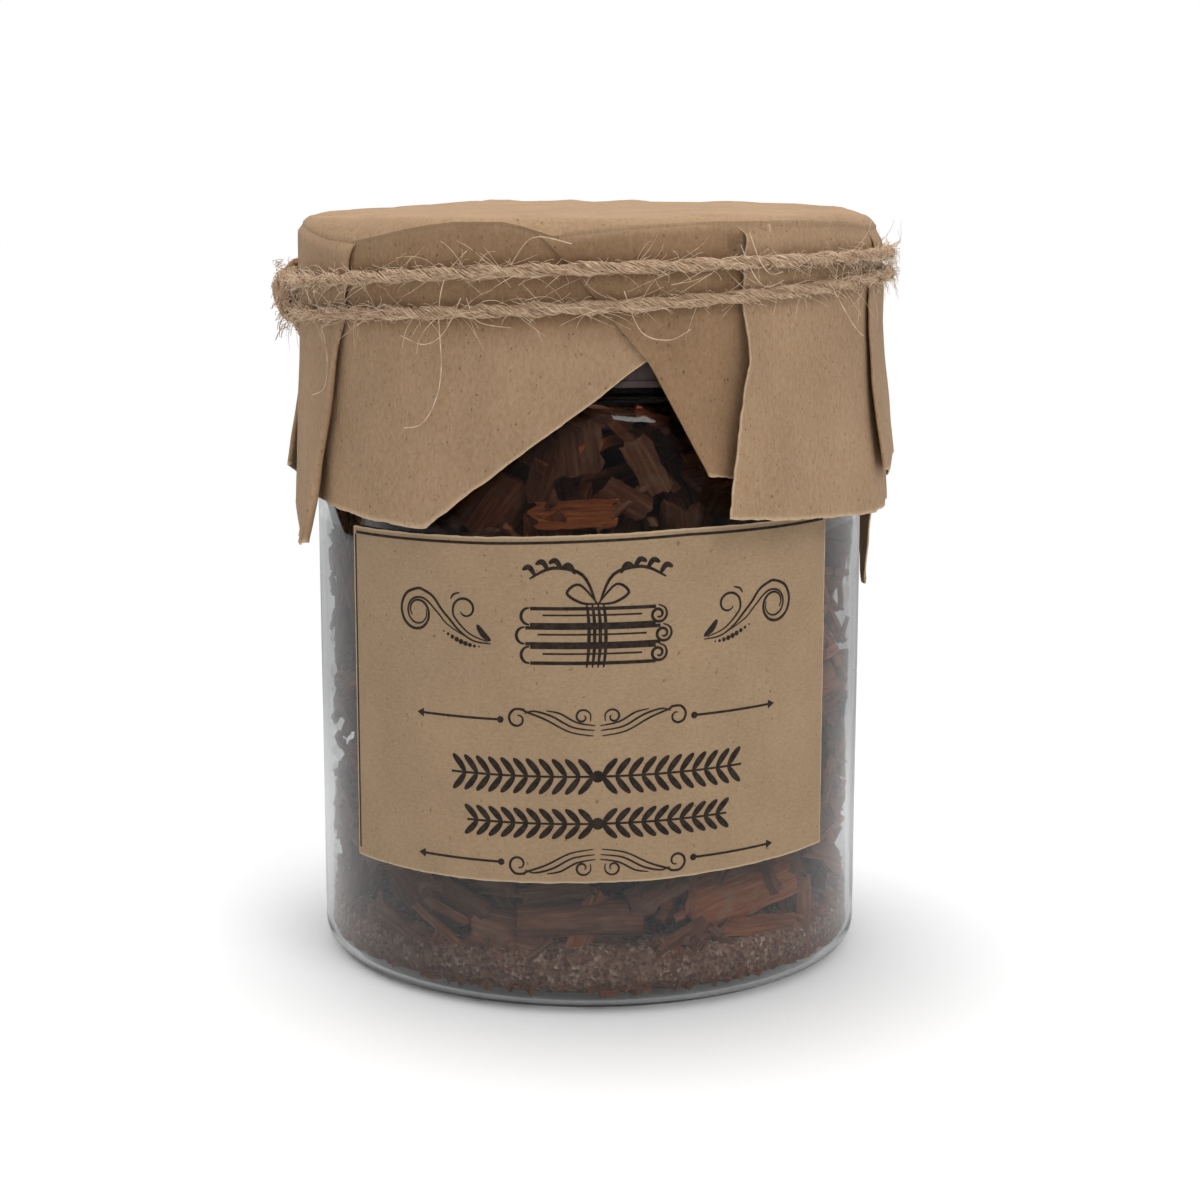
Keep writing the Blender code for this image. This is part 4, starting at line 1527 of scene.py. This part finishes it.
def on_label(arc, height, stand=0.0):
    """A point on the label, from its arc right of the print's middle and its height."""
    return polar(
        (arc + PRINT_CENTRE) / LABEL_ARC, LABEL_RADIUS + stand, height + LABEL_SLANT * (arc + PRINT_CENTRE)
    )


class Print:
    """Gathers printed strokes as thin strips on the label."""

    def __init__(self):
        self.points, self.faces = [], []

    def strip(self, spots):
        """A stroke through (arc, height, width) spots."""
        base = len(self.points)
        for i, (arc, height, width) in enumerate(spots):
            before, after = spots[max(i - 1, 0)], spots[min(i + 1, len(spots) - 1)]
            ahead = Vector((after[0] - before[0], after[1] - before[1]))
            ahead = ahead.normalized() if ahead.length else Vector((1, 0))
            side = Vector((-ahead.y, ahead.x)) * width / 2
            for stand in (-0.02, 0.035):
                for sign in (-1, 1):
                    self.points.append(on_label(arc + sign * side.x, height + sign * side.y, stand))
        count = len(spots)
        for i in range(count - 1):
            a, b = base + 4 * i, base + 4 * (i + 1)
            for p, q in ((0, 1), (1, 3), (3, 2), (2, 0)):
                self.faces.append((a + p, a + q, b + q, b + p))
        self.faces.append((base, base + 2, base + 3, base + 1))
        end = base + 4 * (count - 1)
        self.faces.append((end, end + 1, end + 3, end + 2))

    def curve(self, spots, width, mirror=False, ends=0.35):
        """A smooth stroke, thin at both ends."""
        line = curve_through([Vector((x, y, 0)) for x, y in spots], 5)
        for sign in (1, -1) if mirror else (1,):
            strokes = []
            for i, spot in enumerate(line):
                share = i / (len(line) - 1)
                swell = ends + (1 - ends) * math.sin(math.pi * min(max(share, 0.0), 1.0)) ** 0.6
                strokes.append((sign * spot.x, spot.y, width * swell))
            self.strip(strokes)

    def dot(self, arc, height, radius):
        steps = 6
        spots = [
            (
                arc - radius * math.cos(math.pi * i / steps), height,
                2 * radius * math.sin(math.pi * i / steps) + 0.01
            )
            for i in range(steps + 1)
        ]
        self.strip(spots)

    def line(self, start, end, height, width, parts=30):
        self.strip([(start + (end - start) * i / parts, height, width) for i in range(parts + 1)])


def scroll(centre, start_radius, end_radius, start, turns, squash=1.0, count=14):
    """Spots along a spiral scroll."""
    spots = []
    for i in range(count + 1):
        share = i / count
        radius = start_radius + (end_radius - start_radius) * share
        angle = math.radians(start + 360 * turns * share)
        spots.append((centre[0] + radius * math.cos(angle), centre[1] + squash * radius * math.sin(angle)))
    return spots


def print_ornaments(ink):
    """The two swirl ornaments beside the emblem, mirrored."""
    x, y = 15.6, 55.2
    big = [(0, -0.2), (2.7, 0.1), (5.0, 1.5), (6.5, 3.0), (7.9, 4.4), (9.3, 6.1), (10.9, 6.9)]
    big = [(x + a, y + b) for a, b in big] + scroll((x + 12.2, y + 3.7), 3.4, 1.1, 92, -1.35, 1.0, 12)
    ink.curve(big, 0.42, True)
    inner = [(3, 0.2), (6.7, 2.1), (8.4, 3.7), (10.5, 5.5)]
    inner = [(x + a, y + b) for a, b in inner] + scroll((x + 12.0, y + 3.7), 2.1, 1.5, 88, -0.8, 1.0, 7)
    ink.curve(inner, 0.3, True)
    small = [(0.5, 0.1), (3.3, 1.1), (5.5, 3.1)]
    small = [(x + a, y + b) for a, b in small] + scroll((x + 4.0, y + 4.6), 2.0, 0.8, -12, 0.95, 0.95, 9)
    ink.curve(small, 0.36, True)
    ink.curve([(x + 6.3, y + 6), (x + 5.8, y + 6.7), (x + 4.8, y + 7)], 0.3, True)
    ink.curve([(x + 2.1, y + 2.5), (x + 1.2, y + 1.2), (x, y + 0.2)], 0.9, True, 0.1)
    beads = 9
    for i in range(beads):
        share = i / (beads - 1)
        arc = x + 7.5 - 5.7 * share
        height = y + 1.2 - 1.9 * math.sin(share * math.pi / 2)
        radius = 0.13 + 0.25 * math.sin(math.pi * share)
        for sign in (1, -1):
            ink.dot(sign * arc, height, radius)


def print_divider(ink, middle, flip):
    """A ruled divider with arrowheads and a curled flourish in its middle."""
    for sign in (1, -1):
        ink.line(sign * 14.2, sign * 27.4, middle, 0.34, 12)
        ink.strip([(sign * 26.8, middle, 1.3), (sign * 27.9, middle, 0.1)])
        ink.dot(sign * 14.2, middle, 0.5)
    for mirrored in (False, True):
        way = -1 if mirrored else 1
        tall = -1 if flip else 1

        def spots(points):
            return [(way * a, middle + tall * b) for a, b in points]

        outer = [
            (0.6, -2.2), (4.0, -1.6), (7.5, 0.2), (10.4, 1.3)
        ] + scroll((11.6, 0.2), 1.6, 0.5, 120, -1.1, 1.0, 8)
        ink.curve(spots(outer), 0.36)
        ink.curve(spots([(0.4, -1.4), (3.6, -0.9), (6.6, 0.7), (9.2, 1.4), (10.6, 1.0)]), 0.3)
        ink.curve(spots([(0.3, -0.7), (3.0, -0.2), (5.4, 1.1), (7.4, 1.5)]), 0.28)
        ink.curve(spots(scroll((2.2, 0.6), 1.3, 0.35, -150, -1.2, 1.0, 9)), 0.32)


def print_emblem(ink):
    """A tied bundle of rolled quills between two rules, in bold line."""
    for i, height in enumerate((53.6, 56.4, 59.2)):
        inset = 0.7 * abs(i - 1)
        ink.line(-10.4 + inset, 9.0 - inset, height + 1.15, 0.5, 16)
        ink.line(-10.4 + inset, 9.0 - inset, height - 1.15, 0.5, 16)
        ink.line(-8.6 + inset, 7.0 - inset, height + 0.2, 0.26, 12)
        ink.curve(scroll((9.4 - inset, height), 1.4, 0.35, 90, -1.6, 1.0, 12), 0.42)
        ink.curve(scroll((-10.5 + inset, height), 1.25, 1.2, 90, 0.5, 1.0, 6), 0.46)
    for arc in (-1.3, -0.5, 0.3, 1.1):
        ink.curve([(arc - 0.3, 51.8), (arc, 54.6), (arc, 58.4), (arc - 0.3, 61.0)], 0.5)
    ink.curve([(0, 61.0), (-2.6, 63.8), (-4.4, 62.6), (-2.4, 61.2), (0, 61.0)], 0.42)
    ink.curve([(0, 61.0), (2.6, 63.8), (4.4, 62.6), (2.4, 61.2), (0, 61.0)], 0.42)
    for sign in (-1, 1):
        ink.curve([(sign * 0.2, 61.0), (sign * 2.2, 65.2), (sign * 6.4, 66.2), (sign * 9.8, 64.6)], 0.5)
        for k in range(4):
            arc, height = sign * (3.2 + 1.9 * k), 65.3 + 0.7 * math.sin(k * 1.2)
            ink.curve(
                [(arc, height), (arc + sign * 0.9, height + 1.3), (arc + sign * 1.9, height + 0.9)], 0.8,
                False, 0.1
            )


def print_garlands(ink):
    """Two rows of plain leaf sprigs where a product's words would stand."""
    for height, half, leaf in ((35.8, 22.0, 2.6), (28.8, 19.5, 2.2)):
        count = int(half / 1.9)
        ink.line(-half, half, height, 0.32, 30)
        for k in range(-count, count + 1):
            if k == 0:
                ink.dot(0, height, 0.9)
                continue
            way = 1 if k > 0 else -1
            arc = k * 1.9
            for up in (1, -1):
                ink.curve(
                    [
                        (arc - way * 1.2, height), (arc - way * 0.2, height + up * leaf * 0.55),
                        (arc + way * 0.9, height + up * leaf)
                    ],
                    0.95, False, 0.1,
                )


class JAR_OT_add_label(bpy.types.Operator):
    """Adds the kraft label and its plain printed ornaments"""

    bl_idname = "bark_jar.add_label"
    bl_label = "Label"

    def execute(self, context):
        columns, rows = 110, 40
        shares = [0, 0.004] + [i / (columns - 2) for i in range(1, columns - 2)] + [0.996, 1]
        downs = [0, 0.007] + [i / (rows - 2) for i in range(1, rows - 2)] + [0.993, 1]
        cut = []

        def place(column, row):
            azimuth = -LABEL_HALF + 2 * LABEL_HALF * shares[column]
            low, high = between(LABEL_BOTTOM, azimuth), between(LABEL_TOP, azimuth)
            height = low + (high - low) * downs[row]
            edge = column in (0, columns) or row in (0, rows)
            if row in (0, rows):
                height += 0.45 * ragged(azimuth * LABEL_ARC, 3.0 + row)
            if column in (0, columns):
                azimuth += 0.5 * ragged(height, 6.0 + column)
            cut.append(1.0 if edge else 0.0)
            wave = 0.02 * noise.noise((azimuth / 9, height / 9, 2.0))
            return polar(azimuth, LABEL_RADIUS + wave, height) * MM

        paper = grid("label_paper", columns, rows, place)
        store(paper, cut_edge=cut)
        face_away(paper)
        apply_modifier(paper, "SOLIDIFY", thickness=0.22 * MM, offset=-1)
        finish_piece(paper, label_paper(), "kraft_label", "label")

        ink = Print()
        high = [
            (a * LABEL_ARC - PRINT_CENTRE, between(LABEL_TOP, a) - 0.9 - LABEL_SLANT * a * LABEL_ARC, 0.4)
            for a in range(-53, 55, 2)
        ]
        ink.strip(high)
        side = -53.3 * LABEL_ARC - PRINT_CENTRE
        ink.strip([(side, 21.0 + 0.48 * i * 4.0, 0.34) for i in range(26)])
        print_ornaments(ink)
        print_divider(ink, 44.0, False)
        print_divider(ink, 22.8, True)
        print_emblem(ink)
        print_garlands(ink)
        printed = mesh_piece("label_print", [p * MM for p in ink.points], ink.faces)
        face_outwards(printed)
        finish_piece(printed, dark_ink(), "kraft_label")
        return {"FINISHED"}


# ---- the stage

CAMERA_PLACE = (0, -0.3903, 0.1272)
CAMERA_PITCH = math.radians(10.7)
CAMERA_SENSOR, CAMERA_LENS, CAMERA_SHIFT = 36, 74.94, 0.00875
# Seen directly or through the jar, the set is plain white. It lights the jar less.
SET_LIGHT = 0.60


def lamp(name, place, aim, size, power):
    """A white area lamp."""
    data = bpy.data.lights.new(name, "AREA")
    data.shape = "DISK"
    data.size = size
    data.energy = power
    made = bpy.data.objects.new(name, data)
    made.location = place
    made.rotation_euler = (Vector(aim) - Vector(place)).to_track_quat("-Z", "Y").to_euler()
    made.visible_glossy = False
    bpy.context.scene.collection.objects.link(made)


def pale_floor():
    """A matt pale sweep: lit and shadowed by the jar, plain white further off, and seen in
    reflections as the dim room beyond the lit table."""
    made, tree, shader = new_material("matt_pale_floor")
    shader.inputs["Base Color"].default_value = linear("#F4F4F4")
    shader.inputs["Roughness"].default_value = 0.7
    place = add(tree, "TexCoord").outputs["Object"]
    away = add(tree, "VectorMath", {"operation": "LENGTH"}, {0: place}).outputs["Value"]
    far = add(
        tree, "MapRange", {"From Min": 0.10, "From Max": 0.24, "interpolation_type": "SMOOTHSTEP"},
        {"Value": away}
    ).outputs[0]
    path = add(tree, "LightPath")
    seen = add(
        tree, "Math", {"operation": "MAXIMUM"},
        {0: path.outputs["Is Camera Ray"], 1: path.outputs["Is Transmission Ray"]}
    ).outputs[0]
    plain = add(tree, "Math", {"operation": "MULTIPLY"}, {0: far, 1: seen}).outputs[0]
    white = add(tree, "Emission", {"Color": grey(1.0), "Strength": 1.0})
    first = add(tree, "MixShader", links={0: plain, 1: shader.outputs[0], 2: white.outputs[0]})
    front = add(
        tree, "MapRange",
        {"From Min": 0.05, "From Max": 0.22, "To Min": 0.5, "interpolation_type": "SMOOTHSTEP"},
        {"Value": away}
    ).outputs[0]
    dim = add(
        tree, "Math", {"operation": "MULTIPLY"}, {0: front, 1: path.outputs["Is Glossy Ray"]}
    ).outputs[0]
    depth = add(tree, "SeparateXYZ", links={0: place}).outputs["Y"]
    beyond = add(
        tree, "MapRange", {"From Min": -0.04, "From Max": 0.06, "To Min": 0.06, "To Max": 0.5},
        {"Value": depth}
    ).outputs[0]
    room = add(tree, "Emission", {"Color": grey(1.0)}, {"Strength": beyond})
    second = add(tree, "MixShader", links={0: dim, 1: first.outputs[0], 2: room.outputs[0]})
    tree.links.new(second.outputs[0], tree.nodes["Material Output"].inputs["Surface"])
    return made


class JAR_OT_set_stage(bpy.types.Operator):
    """Sets the pale floor, the soft white light, the camera and the view transform"""

    bl_idname = "bark_jar.set_stage"
    bl_label = "Stage"

    def execute(self, context):
        scene = context.scene
        bpy.ops.mesh.primitive_plane_add(size=6, location=(0, 0, -0.0004))
        floor = bpy.context.active_object
        floor.name = "floor"
        bpy.ops.object.transform_apply(location=True, rotation=False, scale=False)
        floor.data.materials.append(pale_floor())

        world = bpy.data.worlds.new("soft_white_room")
        scene.world = world
        world.use_nodes = True
        tree = world.node_tree
        tree.nodes.clear()
        path = add(tree, "LightPath")
        seen = add(
            tree, "Math", {"operation": "MAXIMUM"},
            {0: path.outputs["Is Camera Ray"], 1: path.outputs["Is Transmission Ray"]}
        )
        light = add(tree, "Background", {"Color": grey(1.0), "Strength": SET_LIGHT})
        white = add(tree, "Background", {"Color": grey(1.0), "Strength": 1.0})
        both = add(tree, "MixShader", links={0: seen.outputs[0], 1: light.outputs[0], 2: white.outputs[0]})
        # Reflections show the bright set beside and behind the jar, and a dim room in front.
        way = add(tree, "SeparateXYZ", links={0: add(tree, "TexCoord").outputs["Generated"]}).outputs["Y"]
        side = add(
            tree, "MapRange", {"From Min": -0.6, "From Max": 0.3, "To Min": 0.06, "To Max": 0.9},
            {"Value": way}
        ).outputs[0]
        mirror = add(tree, "Background", {"Color": grey(1.0)}, {"Strength": side})
        last = add(
            tree, "MixShader",
            links={0: path.outputs["Is Glossy Ray"], 1: both.outputs[0], 2: mirror.outputs[0]}
        )
        add(tree, "OutputWorld", links={"Surface": last.outputs[0]})

        lamp("key", (0.35, -0.55, 0.75), (0, 0, 0.06), 0.5, 2.6)
        lamp("top", (-0.05, 0.1, 0.95), (0, 0, 0.1), 0.5, 6.0)

        data = bpy.data.cameras.new("camera")
        camera = bpy.data.objects.new("camera", data)
        scene.collection.objects.link(camera)
        camera.location = CAMERA_PLACE
        camera.rotation_euler = (math.radians(90) - CAMERA_PITCH, 0, 0)
        data.sensor_width = CAMERA_SENSOR
        data.lens = CAMERA_LENS
        data.shift_x = CAMERA_SHIFT
        scene.camera = camera
        scene.view_settings.view_transform = "Standard"
        return {"FINISHED"}


# ---- sizes, panel and running


class BarkJarSizes(bpy.types.PropertyGroup):
    chips_round: IntProperty(
        name="Chips Round", description="Bark chips in each ring by the wall", default=20, min=8, max=40
    )
    crumbs: IntProperty(
        name="Crumbs", description="Crumbs of bark, most in the bed at the bottom", default=1500, min=0,
        max=4000
    )
    loose_fibres: IntProperty(
        name="Loose Fibres", description="Fibres standing off the twine", default=2400, min=0, max=6000
    )


class JAR_PT_panel(bpy.types.Panel):
    """Lists the sizes and the pieces of the jar"""

    bl_idname = "JAR_PT_panel"
    bl_label = "Bark Jar"
    bl_space_type = "VIEW_3D"
    bl_region_type = "UI"
    bl_category = "Bark Jar"

    def draw(self, context):
        sizes = context.scene.bark_jar_sizes
        for name in ("chips_round", "crumbs", "loose_fibres"):
            self.layout.prop(sizes, name)
        for operator in OPERATORS:
            self.layout.operator(operator.bl_idname)


OPERATORS = (
    JAR_OT_add_shell,
    JAR_OT_add_lid,
    JAR_OT_add_cover,
    JAR_OT_add_bark,
    JAR_OT_add_twine,
    JAR_OT_add_label,
    JAR_OT_set_stage,
)


def register():
    for made in (BarkJarSizes, *OPERATORS, JAR_PT_panel):
        bpy.utils.register_class(made)
    bpy.types.Scene.bark_jar_sizes = PointerProperty(type=BarkJarSizes)


def unregister():
    del bpy.types.Scene.bark_jar_sizes
    for made in reversed((BarkJarSizes, *OPERATORS, JAR_PT_panel)):
        bpy.utils.unregister_class(made)


def main():
    register()
    bpy.ops.object.select_all(action="DESELECT")
    for operator in OPERATORS:
        group, name = operator.bl_idname.split(".")
        getattr(getattr(bpy.ops, group), name)()


if __name__ == "__main__":
    main()
